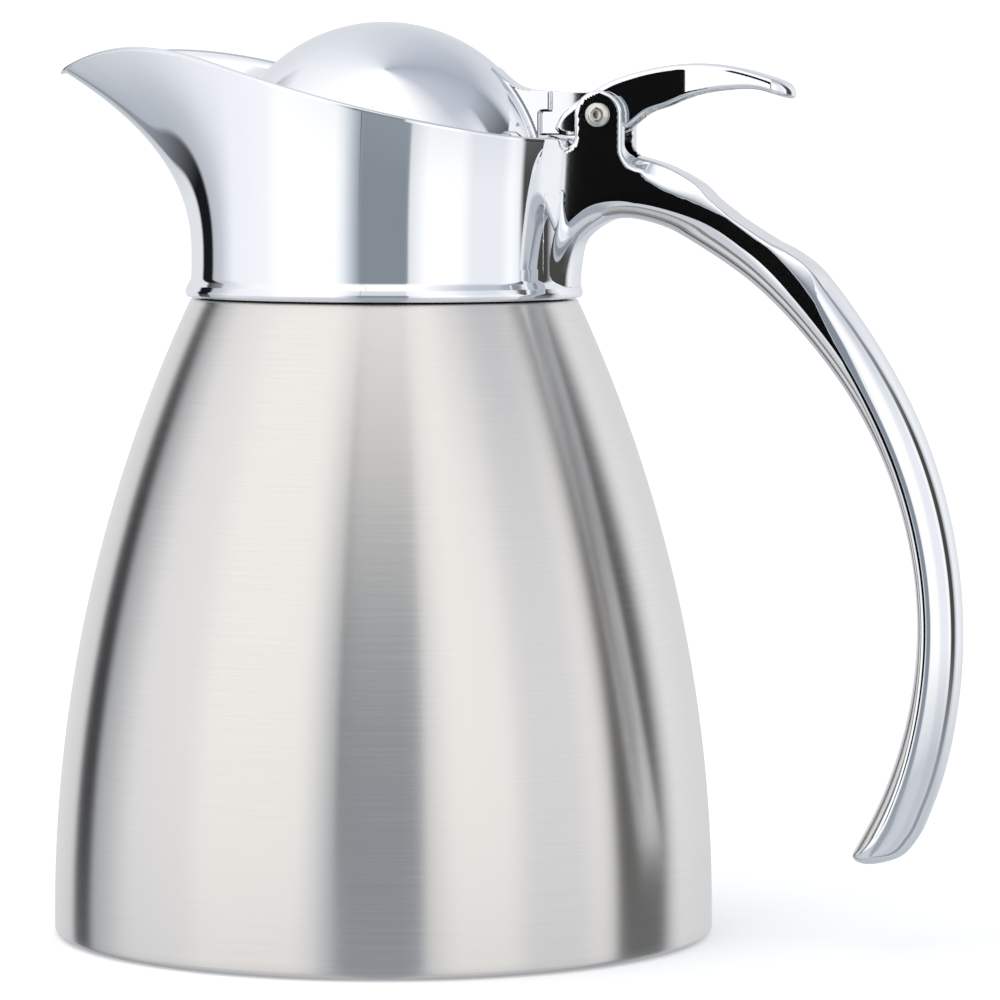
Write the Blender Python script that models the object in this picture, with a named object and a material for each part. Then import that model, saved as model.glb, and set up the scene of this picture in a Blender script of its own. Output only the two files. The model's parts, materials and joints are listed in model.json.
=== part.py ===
"""Insulated coffee pot with a hinged lever lid, as the separate pieces that it comes apart into.

The frame: the origin is where the pot's axis meets the table, +Z is up, the spout points along -X and
the handle along +X. Run it with blender --background --python part.py, or from Blender's text editor.
"""

import math

import bmesh
import bpy
from mathutils import Matrix, Vector

MM = 0.001

# Clearances
FIT_GAP = 0.3 * MM  # between pieces that rest on or fit in each other
RUN_GAP = 0.2 * MM  # round the hinge pin

# Bottle
BASE_RADIUS = 56.5 * MM  # widest part of the steel body
COLLAR_RADIUS = 33.0 * MM  # waist of the chrome collar, and the body's top
SHOULDER_Z = 108.7 * MM  # top of the visible steel
UPRIGHT_Z = 3.4 * MM  # height at which the body's side is vertical
FOOT_ROUND = 1.2 * MM
SHELL_WALL = 0.8 * MM
FLASK_WALL = 0.8 * MM
VACUUM_GAP = 4.0 * MM
FLASK_FLOOR_Z = 9.0 * MM
FLASK_FLOOR_ROUND = 9.0 * MM
FLASK_SHOULDER_DROP = 9.5 * MM  # where the flask turns in to its neck, below the shoulder
NECK_HEIGHT = 10.0 * MM
NECK_VACUUM = 1.7 * MM
PAN_WALL = 0.8 * MM
PAN_Z = 3.0 * MM
PUMP_HOLE_RADIUS = 1.6 * MM
GETTER_RADIUS = 6.0 * MM
GETTER_THICKNESS = 1.2 * MM
COVER_RIM = 2.4 * MM  # visible foot ring of the shell round the cover

# Collar and spout
COLLAR_WALL = 1.5 * MM
BEAD_PROUD = 1.05 * MM
BEAD_HEIGHT = 1.9 * MM
GASKET_THICKNESS = 1.5 * MM
LEDGE_THICKNESS = 2.0 * MM
WAIST_HEIGHT = 7.3 * MM  # straight part of the collar, above the shoulder
RIM_FLARE = 1.0 * MM  # how much wider the rim is than the waist
SPOUT_REACH = 57.9 * MM
SPOUT_TIP_RADIUS = 4.9 * MM
SPOUT_FLARE_POWER = 2.2  # how late the wall turns outwards on its way up
FRONT_SHARE = 0.6  # share of the collar's front arc that fans out to the spout's straight sides
# The rim's height above the shoulder, at places from the spout's tip (0) to the handle side (1)
RIM_CURVE = (
    (0.0, 38.9 * MM),
    (0.053, 41.0 * MM),
    (0.171, 42.8 * MM),
    (0.268, 42.1 * MM),
    (0.44, 38.2 * MM),
    (0.634, 33.5 * MM),
    (0.828, 29.5 * MM),
    (0.957, 27.5 * MM),
    (1.0, 27.3 * MM),
)
LOCK_RING_WALL = 3.0 * MM
LOCK_RING_HEIGHT = 3.6 * MM
LOCK_RING_SLOTS = 6
SLOT_WIDTH = 4.0 * MM
SLOT_DEPTH = 1.4 * MM
SEAL_THICKNESS = 1.3 * MM
INSERT_BORE_STEP = 0.6 * MM  # how far the insert's bore stands inside the flask's mouth
INSERT_THICKNESS = 2.0 * MM
INSERT_SLOPE = 0.9 * MM

# Lid
LID_MARGIN = 3.1 * MM  # between the dome and the collar's wall
DOME_CENTRE_RISE = 18.7 * MM  # above the shoulder
DOME_WALL = 1.2 * MM
LID_GASKET_THICKNESS = 1.3 * MM
LID_GASKET_WIDTH = 3.6 * MM
LINER_THICKNESS = 2.2 * MM
LID_SCREW_CIRCLE = 17.0 * MM
LID_SCREW_COUNT = 3
BOSS_RADIUS = 2.6 * MM
TAB_RISE = 4.1 * MM  # the tab's top above the hinge axis
TAB_THICKNESS = 3.5 * MM
# The tab's top line as it leaves the dome: places as shares of the dome's radius, and heights above the tab
TAB_FLARE = ((0.84, 0.8 * MM), (0.92, 0.25 * MM), (1.02, 0.0))
TAB_START = 0.66  # share of the dome's radius where the tab's top line leaves the dome
TAB_LIFT = 0.76  # and where it stands a little proud of it
# Places along the tab, from the hinge axis, with the dome on the minus side
TAB_NARROWS = -8.9 * MM  # from here out it is as narrow as the knuckle
TAB_STEP = -2.8 * MM  # its top steps down under the lever's roof
TAB_TAIL = 7.6 * MM  # its end, under the lever's screw
KNUCKLE_RADIUS = 3.4 * MM
KNUCKLE_START = -12.0 * MM
WEB_DROP = 4.4 * MM  # the web's foot below the hinge axis
WEB_TOP_END = -10.4 * MM
WEB_FOOT_END = -11.0 * MM

# Hinge and lever
HINGE_OUT = 5.7 * MM  # the hinge axis beyond the collar's waist
HINGE_RISE = 31.3 * MM  # and above the shoulder
PIN_RADIUS = 1.3 * MM
PIN_HEAD_RADIUS = 2.0 * MM
PIN_HEAD_HEIGHT = 1.1 * MM
SLEEVE_WALL = 0.5 * MM
EAR_THICKNESS = 3.0 * MM
EAR_RADIUS = 4.1 * MM
# The ears' back edge as it runs out into the bar: beyond the pin and below it, in ear radii
EAR_FOOT = ((1.9, 2.55), (1.25, 2.0), (1.02, 1.4))
EAR_FRONT = 1.7  # how far their foot reaches towards the collar, in ear radii
LEVER_HALF_WIDTH = 3.2 * MM
THUMB_HALF_WIDTH = 5.0 * MM
LEVER_CHEEK = 0.8 * MM
LEVER_ROOF = 1.3 * MM
# The lever's side outline, from the hinge axis: along its top from the nose to the tip, then back below
LEVER_TOP = (
    (-8.5, -3.3),
    (-8.5, -0.8),
    (-2.5, 3.7),
    (-1.6, 4.4),
    (1.0, 5.7),
    (4.7, 7.0),
    (10.7, 8.3),
    (16.1, 8.7),
    (21.3, 8.3),
    (27.3, 6.9),
    (31.1, 5.5),
    (34.0, 3.4),
)
LEVER_BELOW = (
    (33.8, 2.3),
    (31.3, 2.9),
    (27.3, 4.1),
    (21.3, 4.2),
    (14.3, 2.9),
    (11.2, 1.6),
    (7.4, 0.2),
    (3.8, -2.5),
    (1.0, -3.6),
    (-4.0, -3.6),
)
THUMB_START = 8.0 * MM  # where the lever starts to widen, beyond the hinge axis
THUMB_FULL = 22.0 * MM  # where it is widest
# Places along the lever, from the hinge axis: first those with the channel below them, then the solid tip
LEVER_OPEN_PLACES = (-8.5, -6.5, -4.5, -2.5, -1.4, 1.0, 4.7, 7.7, 10.7, 14.0, 17.5, 21.3, 24.5)
LEVER_TIP_PLACES = (27.3, 29.5, 31.2, 32.6, 33.6)
LEVER_ROOF_START = -2.4 * MM  # the roof begins here, and the nose is open above the tab
LEVER_BOSS_RADIUS = 1.9 * MM

# Handle
WAIST_HALF_WIDTH = 5.9 * MM
GRIP_HALF_WIDTH = 7.7 * MM
GRIP_TOP_THICKNESS = 9.0 * MM
GRIP_THICKNESS = 6.8 * MM
GRIP_ARC = 86.4 * MM  # radius of the grip's outer line
GRIP_ARC_IN = 19.5 * MM  # its centre's distance inside the collar's waist
GRIP_ARC_DROP = 54.7 * MM  # and below the shoulder
GRIP_TOP_ANGLE = 43.5  # degrees above the arc's centre, where the grip starts
HANDLE_TIP_Z = 17.6 * MM
HANDLE_CORNERS = 2.6  # exponent of the section: 2 is an ellipse, more is squarer
# The arch under the handle's root is a quarter of an ellipse, from the collar up to the bar
ARCH_FOOT_IN = 1.0 * MM  # inside the collar's waist
ARCH_FOOT_RISE = 2.8 * MM  # above the shoulder
ARCH_LENGTH = 13.6 * MM
ARCH_HEIGHT = 11.8 * MM
# The neck between root and grip, beyond the collar's waist and above the shoulder: places on its middle
# line, each with the thickness across it
HANDLE_NECK = (
    (7.0, 19.35, 11.7),
    (13.0, 19.1, 9.9),
    (19.0, 16.2, 9.2),
    (24.5, 12.2, 7.4),
    (30.0, 8.5, 7.6),
    (35.5, 4.8, 8.6),
)
HANDLE_WAIST_AT = 27.0 * MM  # where the neck is narrowest, beyond the collar's waist
# The crest behind the hinge stands above two side rails: places beyond the hinge axis, the rail's height
# from that axis, and the crest's half width there
CREST = (
    (3.5, -9.0, 3.2),
    (8.3, -10.8, 3.4),
    (10.7, -11.9, 3.9),
    (17.6, -14.5, 5.6),
    (20.6, -16.2, 7.0),
)
CHANNEL_LENGTH = 6.0 * MM  # from the hinge axis to the crest's front
CHANNEL_DEPTH = 8.6 * MM  # its floor below the hinge axis

# Small screws
SCREW_HEAD_RADIUS = 1.7 * MM
SCREW_HEAD_HEIGHT = 1.0 * MM
SCREW_RADIUS = 0.9 * MM
LID_SCREW_GRIP = 3.0 * MM  # how far the lid's screws go into their bosses
LEVER_SCREW_OUT = 5.6 * MM  # beyond the hinge axis
LEVER_SCREW_LENGTH = 4.2 * MM
LEVER_SCREW_HEAD = 1.5 * MM

# Facets
ROUND_STEPS = 40
SMALL_STEPS = 16
SECTION_STEPS = 16

# Places that follow from the sizes above
PAN_FOOT_Z = PAN_Z - 2 * PAN_WALL
BEAD_Z = SHOULDER_Z + FIT_GAP
LEDGE_Z = BEAD_Z + GASKET_THICKNESS + FIT_GAP
RING_Z = LEDGE_Z + LEDGE_THICKNESS + FIT_GAP
COLLAR_BORE = COLLAR_RADIUS - COLLAR_WALL
NECK_RADIUS = COLLAR_BORE - LOCK_RING_WALL - 2 * FIT_GAP
NECK_TOP_Z = SHOULDER_Z + NECK_HEIGHT
FLASK_NECK_RADIUS = NECK_RADIUS - SHELL_WALL - NECK_VACUUM
MOUTH_RADIUS = FLASK_NECK_RADIUS - FLASK_WALL
MOUTH_Z = NECK_TOP_Z + FIT_GAP + FLASK_WALL
INSERT_Z = MOUTH_Z + SEAL_THICKNESS + 2 * FIT_GAP
INSERT_BORE = MOUTH_RADIUS - INSERT_BORE_STEP
SEAT_Z = INSERT_Z + INSERT_THICKNESS
DOME_RADIUS = COLLAR_BORE - LID_MARGIN
DOME_Z = SHOULDER_Z + DOME_CENTRE_RISE
GASKET_Z = SEAT_Z + FIT_GAP
LID_FOOT_Z = GASKET_Z + LID_GASKET_THICKNESS + FIT_GAP
LINER_TOP_Z = LID_FOOT_Z + LINER_THICKNESS
BOSS_Z = LINER_TOP_Z + FIT_GAP
HINGE = Vector((COLLAR_RADIUS + HINGE_OUT, 0.0, SHOULDER_Z + HINGE_RISE))
SLEEVE_BORE = PIN_RADIUS + RUN_GAP
SLEEVE_RADIUS = SLEEVE_BORE + SLEEVE_WALL
TAB_HALF_WIDTH = LEVER_HALF_WIDTH
KNUCKLE_HALF_WIDTH = LEVER_HALF_WIDTH - LEVER_CHEEK - FIT_GAP
FORK_HALF_GAP = LEVER_HALF_WIDTH + FIT_GAP
EAR_FACE = FORK_HALF_GAP + EAR_THICKNESS
HANDLE_HALF_WIDTH = EAR_FACE
TAB_TOP_Z = SHOULDER_Z + HINGE_RISE + TAB_RISE
TAB_FOOT_Z = TAB_TOP_Z - TAB_THICKNESS
WAIST_Z = SHOULDER_Z + WAIST_HEIGHT
CHANNEL_Z = HINGE.z - CHANNEL_DEPTH
ROOT = Vector((COLLAR_RADIUS, 0.0, SHOULDER_Z))
GRIP_CENTRE = ROOT + Vector((-GRIP_ARC_IN, 0.0, -GRIP_ARC_DROP))


# ---------------------------------------------------------------- scene and materials


def clear_scene():
    for old in list(bpy.data.objects):
        bpy.data.objects.remove(old, do_unlink=True)


def material(name, colour, roughness, metallic):
    made = bpy.data.materials.new(name)
    made.use_nodes = True
    shader = made.node_tree.nodes["Principled BSDF"]
    shader.inputs["Base Color"].default_value = (*colour, 1.0)
    shader.inputs["Roughness"].default_value = roughness
    shader.inputs["Metallic"].default_value = metallic
    return made


def finishes():
    return {
        "brushed": material("brushed_steel", (0.62, 0.60, 0.57), 0.34, 1.0),
        "steel": material("plain_steel", (0.55, 0.55, 0.54), 0.30, 1.0),
        "chrome": material("chrome", (0.80, 0.81, 0.83), 0.06, 1.0),
        "fastener": material("fastener_steel", (0.66, 0.63, 0.60), 0.25, 1.0),
        "plastic": material("black_plastic", (0.03, 0.03, 0.03), 0.45, 0.0),
        "seal": material("silicone", (0.55, 0.55, 0.53), 0.6, 0.0),
        "getter": material("getter_metal", (0.30, 0.30, 0.31), 0.5, 1.0),
    }


def piece(name, bm, finish, location=(0.0, 0.0, 0.0), rotation=(0.0, 0.0, 0.0)):
    """One named object from a bmesh, with its faces turned out and its round faces smooth."""
    bmesh.ops.recalc_face_normals(bm, faces=bm.faces)
    mesh = bpy.data.meshes.new(name)
    bm.to_mesh(mesh)
    bm.free()
    mesh.shade_smooth()
    mesh.set_sharp_from_angle(angle=math.radians(35))
    made = bpy.data.objects.new(name, mesh)
    made.location = location
    made.rotation_euler = rotation
    bpy.context.scene.collection.objects.link(made)
    if finish is not None:
        mesh.materials.append(finish)
    return made


def cutter(name, bm, location=(0.0, 0.0, 0.0), rotation=(0.0, 0.0, 0.0)):
    made = piece(name, bm, None, location, rotation)
    made.hide_render = True
    made.display_type = "WIRE"
    return made


def boolean(target, tool, operation):
    made = target.modifiers.new(tool.name, "BOOLEAN")
    made.object = tool
    made.operation = operation
    made.solver = "EXACT"


def hang_on(pivot, objects):
    """Parents pieces to the pivot without moving them."""
    for each in objects:
        each.parent = pivot
        each.matrix_parent_inverse = Matrix.Translation(-pivot.location)


# ---------------------------------------------------------------- shape helpers


def arc(centre, radius, start, end, count):
    """Points (r, z) on an arc, angles in degrees from the +r direction towards +z."""
    angles = [math.radians(start + (end - start) * k / count) for k in range(count + 1)]
    line = [(centre[0] + radius * math.cos(a), centre[1] + radius * math.sin(a)) for a in angles]
    return [(round(r, 9), z) for r, z in line]  # a point meant for the axis lies on it


def turned(profile, steps=ROUND_STEPS):
    """A closed (r, z) outline, spun round the Z axis."""
    bm = bmesh.new()
    verts = [bm.verts.new((r, 0.0, z)) for r, z in profile]
    edges = [bm.edges.new((verts[k - 1], verts[k])) for k in range(len(verts))]
    bmesh.ops.spin(
        bm, geom=verts + edges, axis=(0, 0, 1), cent=(0, 0, 0), angle=2 * math.pi, steps=steps, use_merge=True
    )
    bmesh.ops.remove_doubles(bm, verts=bm.verts, dist=1e-6)
    flat = [e for e in bm.edges if not e.link_faces]
    bmesh.ops.delete(bm, geom=flat, context="EDGES")
    return bm


def skinned(rings, closed=False):
    """A loft through rings of points; its ends are capped, or joined to each other when closed."""
    bm = bmesh.new()
    loops = [[bm.verts.new(point) for point in ring] for ring in rings]
    count = len(loops[0])
    for k in range(0 if closed else 1, len(loops)):
        for j in range(count):
            bm.faces.new((loops[k - 1][j - 1], loops[k - 1][j], loops[k][j], loops[k][j - 1]))
    if not closed:
        bm.faces.new(loops[0])
        bm.faces.new(loops[-1])
    return bm


def extruded(outline, half_width):
    """A closed (x, z) outline, as thick as twice half_width across Y."""
    return skinned([[Vector((x, y, z)) for x, z in outline] for y in (-half_width, half_width)])


def box(low, high):
    bm = bmesh.new()
    bmesh.ops.create_cube(bm, size=1.0)
    size = Vector(high) - Vector(low)
    bmesh.ops.scale(bm, vec=size, verts=bm.verts)
    bmesh.ops.translate(bm, vec=Vector(low) + size / 2, verts=bm.verts)
    return bm


def rod(radius, length, steps=SMALL_STEPS):
    """A plain cylinder up the Z axis from 0."""
    return turned([(0, 0), (radius, 0), (radius, length), (0, length)], steps)


def smooth_through(points, count):
    """A smooth line through points, with count steps between each two of them."""
    padded = [points[0], *points, points[-1]]
    line = []
    for k in range(1, len(padded) - 2):
        before, start, end, after = (Vector(p) for p in padded[k - 1 : k + 3])
        for step in range(count):
            t = step / count
            pull = (end - before) / 2 * (t**3 - 2 * t**2 + t) + (after - start) / 2 * (t**3 - t**2)
            line.append(start * (2 * t**3 - 3 * t**2 + 1) + end * (3 * t**2 - 2 * t**3) + pull)
    return [*line, Vector(points[-1])]


def eased(low, high, at):
    """0 up to low, 1 from high, and a smooth step between."""
    t = min(1.0, max(0.0, (at - low) / (high - low)))
    return t * t * (3 - 2 * t)


def screw(name, length, finish, location, rotation, head_radius=SCREW_HEAD_RADIUS):
    """A pan-head screw: its head stands on the location, and its shank points along the local -Z."""
    socket = head_radius * 0.45
    profile = [
        (0, -length),
        (SCREW_RADIUS * 0.6, -length),
        (SCREW_RADIUS, -length + SCREW_RADIUS),
        (SCREW_RADIUS, 0),
        (head_radius, 0),
        (head_radius, SCREW_HEAD_HEIGHT * 0.55),
        (head_radius * 0.75, SCREW_HEAD_HEIGHT),
        (socket, SCREW_HEAD_HEIGHT),
        (socket, SCREW_HEAD_HEIGHT * 0.4),
        (0, SCREW_HEAD_HEIGHT * 0.4),
    ]
    return piece(name, turned(profile, 10), finish, location, rotation)


# ---------------------------------------------------------------- bottle


def side_radius(z):
    """The body's outer radius: one arc from the upright foot to the collar."""
    drop = BASE_RADIUS - COLLAR_RADIUS
    rise = SHOULDER_Z - UPRIGHT_Z
    sweep = (rise**2 + drop**2) / (2 * drop)
    return BASE_RADIUS - sweep + math.sqrt(sweep**2 - max(0.0, z - UPRIGHT_Z) ** 2)


def side_line(low, high, count, inset):
    """Points up the body's side, moved in by inset."""
    heights = [low + (high - low) * k / count for k in range(count + 1)]
    return [(side_radius(z) - inset, z) for z in heights]


def make_outer_shell(finish):
    top_z = SHOULDER_Z - 2 * SHELL_WALL
    foot_inner = BASE_RADIUS - COVER_RIM
    outside = side_line(2 * FOOT_ROUND, top_z, 7, 0.0)
    inside = side_line(PAN_Z + 2 * PAN_WALL, top_z, 6, SHELL_WALL)
    profile = [
        (foot_inner, 0.0),
        *arc((BASE_RADIUS - FOOT_ROUND, FOOT_ROUND), FOOT_ROUND, -90, 0, 3),
        *outside,
        (side_radius(top_z) - SHELL_WALL, SHOULDER_Z),
        (NECK_RADIUS + SHELL_WALL, SHOULDER_Z),
        (NECK_RADIUS, SHOULDER_Z + SHELL_WALL),
        (NECK_RADIUS, NECK_TOP_Z),
        (NECK_RADIUS - SHELL_WALL, NECK_TOP_Z),
        (NECK_RADIUS - SHELL_WALL, SHOULDER_Z - SHELL_WALL),
        *reversed(inside),
        (BASE_RADIUS - SHELL_WALL - FOOT_ROUND, SHELL_WALL),
        (foot_inner, SHELL_WALL),
    ]
    return piece("outer_shell", turned(profile), finish)


def make_inner_flask(finish):
    inset = SHELL_WALL + VACUUM_GAP
    turn_z = SHOULDER_Z - FLASK_SHOULDER_DROP
    floor_round = FLASK_FLOOR_ROUND
    wide = side_radius(FLASK_FLOOR_Z + floor_round) - inset
    shoulder = SHOULDER_Z - 2 * SHELL_WALL
    profile = [
        (0, FLASK_FLOOR_Z),
        *arc((wide - floor_round, FLASK_FLOOR_Z + floor_round), floor_round, -90, 0, 3),
        *side_line(FLASK_FLOOR_Z + floor_round, turn_z, 5, inset)[1:],
        (FLASK_NECK_RADIUS, shoulder),
        (FLASK_NECK_RADIUS, NECK_TOP_Z + FIT_GAP),
        (NECK_RADIUS, NECK_TOP_Z + FIT_GAP),
        (NECK_RADIUS, MOUTH_Z),
        (MOUTH_RADIUS, MOUTH_Z),
        (MOUTH_RADIUS, shoulder - FLASK_WALL),
        *reversed(side_line(FLASK_FLOOR_Z + floor_round, turn_z - FLASK_WALL, 5, inset + FLASK_WALL)),
        *reversed(
            arc((wide - floor_round, FLASK_FLOOR_Z + floor_round), floor_round - FLASK_WALL, -90, 0, 3)[:-1]
        ),
        (0, FLASK_FLOOR_Z + FLASK_WALL),
    ]
    return piece("inner_flask", turned(profile), finish)


def make_base_pan(finish):
    rim = BASE_RADIUS - SHELL_WALL - FIT_GAP
    dish = rim - 3 * FOOT_ROUND
    foot = PAN_FOOT_Z
    profile = [
        (PUMP_HOLE_RADIUS, PAN_Z),
        (dish - PAN_WALL, PAN_Z),
        (dish, foot),
        (rim - FOOT_ROUND, foot),
        (rim - FOOT_ROUND, foot + PAN_WALL),
        (dish + PAN_WALL, foot + PAN_WALL),
        (dish, PAN_Z + PAN_WALL),
        (PUMP_HOLE_RADIUS, PAN_Z + PAN_WALL),
    ]
    return piece("base_pan", turned(profile), finish)


def make_vacuum_plug(finish):
    stem = PUMP_HOLE_RADIUS - FIT_GAP
    head = PUMP_HOLE_RADIUS * 1.6
    foot = PAN_Z - FIT_GAP
    profile = [
        (0, foot - PAN_WALL),
        (head * 0.7, foot - PAN_WALL),
        (head, foot),
        (stem, foot),
        (stem, PAN_Z + PAN_WALL),
        (0, PAN_Z + PAN_WALL),
    ]
    return piece("vacuum_plug", turned(profile, SMALL_STEPS), finish)


def make_getter_disc(finish):
    """The tablet that soaks up stray gas, under the flask's floor."""
    top = FLASK_FLOOR_Z - FIT_GAP
    profile = [
        (0, top - GETTER_THICKNESS),
        (GETTER_RADIUS * 0.9, top - GETTER_THICKNESS),
        (GETTER_RADIUS, top),
        (0, top),
    ]
    return piece("getter_disc", turned(profile, 24), finish)


def make_base_cover(finish):
    """The plain disc that the pot stands on, flush with the shell's foot."""
    radius = BASE_RADIUS - COVER_RIM - FIT_GAP
    top = PAN_FOOT_Z - FIT_GAP
    return piece("base_cover", turned([(0, 0), (radius, 0), (radius, top), (0, top)]), finish)


# ---------------------------------------------------------------- collar


def rim_height(x):
    """The rim's height at x, from the smooth line through RIM_CURVE."""
    back = COLLAR_RADIUS + RIM_FLARE
    share = (x + SPOUT_REACH) / (SPOUT_REACH + back)
    line = smooth_through(RIM_CURVE, 6)
    for start, end in zip(line, line[1:]):
        if share <= end[0]:
            part = (share - start[0]) / (end[0] - start[0])
            return SHOULDER_Z + start[1] + (end[1] - start[1]) * max(0.0, part)
    return SHOULDER_Z + line[-1][1]


def rim_plan(inset):
    """Half of the rim seen from above, from the handle side round to the spout's tip: for each point its
    x, y and the angle on the waist below that it grows from. Two circles and their common tangents."""
    big = COLLAR_RADIUS + RIM_FLARE
    small = SPOUT_TIP_RADIUS
    apart = SPOUT_REACH - small
    tangent = math.pi / 2 + math.asin((big - small) / apart)
    big -= inset
    small -= inset
    half = []
    for k in range(15):
        angle = tangent * k / 14
        half.append((big * math.cos(angle), big * math.sin(angle), angle))
    leave = Vector((big * math.cos(tangent), big * math.sin(tangent)))
    arrive = Vector((small * math.cos(tangent) - apart, small * math.sin(tangent)))
    for k in range(1, 6):
        point = leave.lerp(arrive, k / 6)
        half.append((point.x, point.y, tangent + (math.pi - tangent) * FRONT_SHARE * k / 6))
    for k in range(5):
        angle = tangent + (math.pi - tangent) * k / 4
        below = tangent + (math.pi - tangent) * (FRONT_SHARE + (1 - FRONT_SHARE) * k / 4)
        half.append((small * math.cos(angle) - apart, small * math.sin(angle), below))
    return half


def whole_plan(inset):
    half = rim_plan(inset)
    mirrored = [(x, -y, -angle) for x, y, angle in reversed(half[1:-1])]
    return half + mirrored


def wall_plan(inset, share_at):
    """The collar's wall seen from above, share_at(rim_x) of the way from the waist's top to the rim that
    has its outer edge at rim_x. Gives x, y and rim_x for each point."""
    waist = COLLAR_RADIUS - inset
    points = []
    for (x, y, angle), (rim_x, _, _) in zip(whole_plan(inset), whole_plan(0.0)):
        start = Vector((waist * math.cos(angle), waist * math.sin(angle)))
        flat = start.lerp(Vector((x, y)), share_at(rim_x) ** SPOUT_FLARE_POWER)
        points.append((flat.x, flat.y, rim_x))
    return points


def collar_ring(inset, share):
    """One ring of the collar's wall: share 0 is the top of the straight waist, share 1 is the rim."""
    plan = wall_plan(inset, lambda rim_x: share)
    return [Vector((x, y, WAIST_Z + (rim_height(rim_x) - WAIST_Z) * share)) for x, y, rim_x in plan]


def waist_ring(radius, z):
    return [Vector((radius * math.cos(a), radius * math.sin(a), z)) for _, _, a in whole_plan(0.0)]


def collar_outside(proud=0.0):
    """The collar's outer wall from its foot to its rim, moved out by proud."""
    bead = COLLAR_RADIUS + BEAD_PROUD + proud
    low = COLLAR_RADIUS + BEAD_PROUD / 2 + proud
    rings = [
        waist_ring(low, BEAD_Z - proud),
        waist_ring(bead, BEAD_Z + BEAD_HEIGHT * 0.3),
        waist_ring(bead, BEAD_Z + BEAD_HEIGHT * 0.65),
        waist_ring(low, BEAD_Z + BEAD_HEIGHT),
        waist_ring(COLLAR_RADIUS + proud, BEAD_Z + BEAD_HEIGHT * 1.5),
    ]
    return rings + [collar_ring(-proud, share) for share in (0.0, 0.22, 0.42, 0.6, 0.76, 0.9, 1.0)]


def make_collar(finish):
    bore = COLLAR_BORE
    ledge = NECK_RADIUS + FIT_GAP
    inside = [collar_ring(COLLAR_WALL, share) for share in (1.0, 0.9, 0.76, 0.6, 0.42, 0.22, 0.0)]
    rings = [
        *collar_outside(),
        *inside,
        waist_ring(bore, LEDGE_Z + LEDGE_THICKNESS),
        waist_ring(ledge, LEDGE_Z + LEDGE_THICKNESS),
        waist_ring(ledge, LEDGE_Z),
        waist_ring(bore, LEDGE_Z),
        waist_ring(bore, BEAD_Z),
    ]
    return piece("collar", skinned(rings, closed=True), finish)


def make_shoulder_gasket(finish):
    inner = NECK_RADIUS + SHELL_WALL + FIT_GAP
    outer = COLLAR_BORE - FIT_GAP
    top = BEAD_Z + GASKET_THICKNESS
    profile = [(inner, BEAD_Z), (outer, BEAD_Z), (outer, top), (inner, top)]
    return piece("shoulder_gasket", turned(profile), finish)


def make_lock_ring(finish):
    """The ring on the bottle's neck that holds the collar's ledge down, with slots for a spanner."""
    inner = NECK_RADIUS + FIT_GAP
    outer = inner + LOCK_RING_WALL - FIT_GAP
    top = RING_Z + LOCK_RING_HEIGHT
    profile = [(inner, RING_Z), (outer, RING_Z), (outer, top), (inner, top)]
    ring = piece("lock_ring", turned(profile, LOCK_RING_SLOTS * 8), finish)
    for k in range(LOCK_RING_SLOTS):
        angle = 2 * math.pi * (k + 0.5) / LOCK_RING_SLOTS
        low = (outer - SLOT_DEPTH, -SLOT_WIDTH / 2, RING_Z - FIT_GAP)
        high = (outer + SLOT_DEPTH, SLOT_WIDTH / 2, top + FIT_GAP)
        slot = cutter(f"slot_cutter_{k + 1}", box(low, high), rotation=(0, 0, angle))
        boolean(ring, slot, "DIFFERENCE")
    return ring


def make_mouth_seal(finish):
    low = MOUTH_Z + FIT_GAP
    top = low + SEAL_THICKNESS
    inner = MOUTH_RADIUS + FIT_GAP
    profile = [(inner, low), (NECK_RADIUS, low), (NECK_RADIUS, top), (inner, top)]
    return piece("mouth_seal", turned(profile), finish)


def insert_edge(z):
    """The collar's inside at a height, kept clear by the fit gap."""

    def share_at(rim_x):
        return max(0.0, (z - WAIST_Z) / (rim_height(rim_x) - WAIST_Z))

    return [Vector((x, y, z)) for x, y, _ in wall_plan(COLLAR_WALL + FIT_GAP, share_at)]


def make_pour_insert(finish):
    """The plastic funnel between the bottle's mouth and the collar: the lid's gasket closes on it."""
    seat_edge = DOME_RADIUS + FIT_GAP
    rings = [
        waist_ring(INSERT_BORE, INSERT_Z),
        waist_ring(NECK_RADIUS + FIT_GAP, INSERT_Z),
        insert_edge(INSERT_Z + INSERT_SLOPE),
        insert_edge(SEAT_Z + INSERT_SLOPE),
        waist_ring(seat_edge, SEAT_Z),
        waist_ring(INSERT_BORE, SEAT_Z),
    ]
    return piece("pour_insert", skinned(rings, closed=True), finish)


# ---------------------------------------------------------------- handle


def handle_line():
    """The handle's middle line as (x, z, half thickness, half width), from inside the collar to the tip."""
    neck = [(ROOT.x + x * MM, ROOT.z + z * MM, t * MM) for x, z, t in HANDLE_NECK]
    tip_angle = math.degrees(math.asin((HANDLE_TIP_Z - GRIP_CENTRE.z) / (GRIP_ARC - GRIP_THICKNESS / 2)))
    grip = []
    for k in range(13):
        share = k / 12
        angle = math.radians(GRIP_TOP_ANGLE + (tip_angle - GRIP_TOP_ANGLE) * share)
        thickness = GRIP_THICKNESS + (GRIP_TOP_THICKNESS - GRIP_THICKNESS) * (1 - eased(0.0, 0.55, share))
        radius = GRIP_ARC - thickness / 2
        place = GRIP_CENTRE + Vector((math.cos(angle), 0.0, math.sin(angle))) * radius
        grip.append((place.x, place.z, thickness))
    line = [(p[0], p[1], p[2] / 2, neck_half_width(p[0])) for p in smooth_through(neck, 2)]
    return line + [(x, z, t / 2, GRIP_HALF_WIDTH) for x, z, t in grip]


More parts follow.
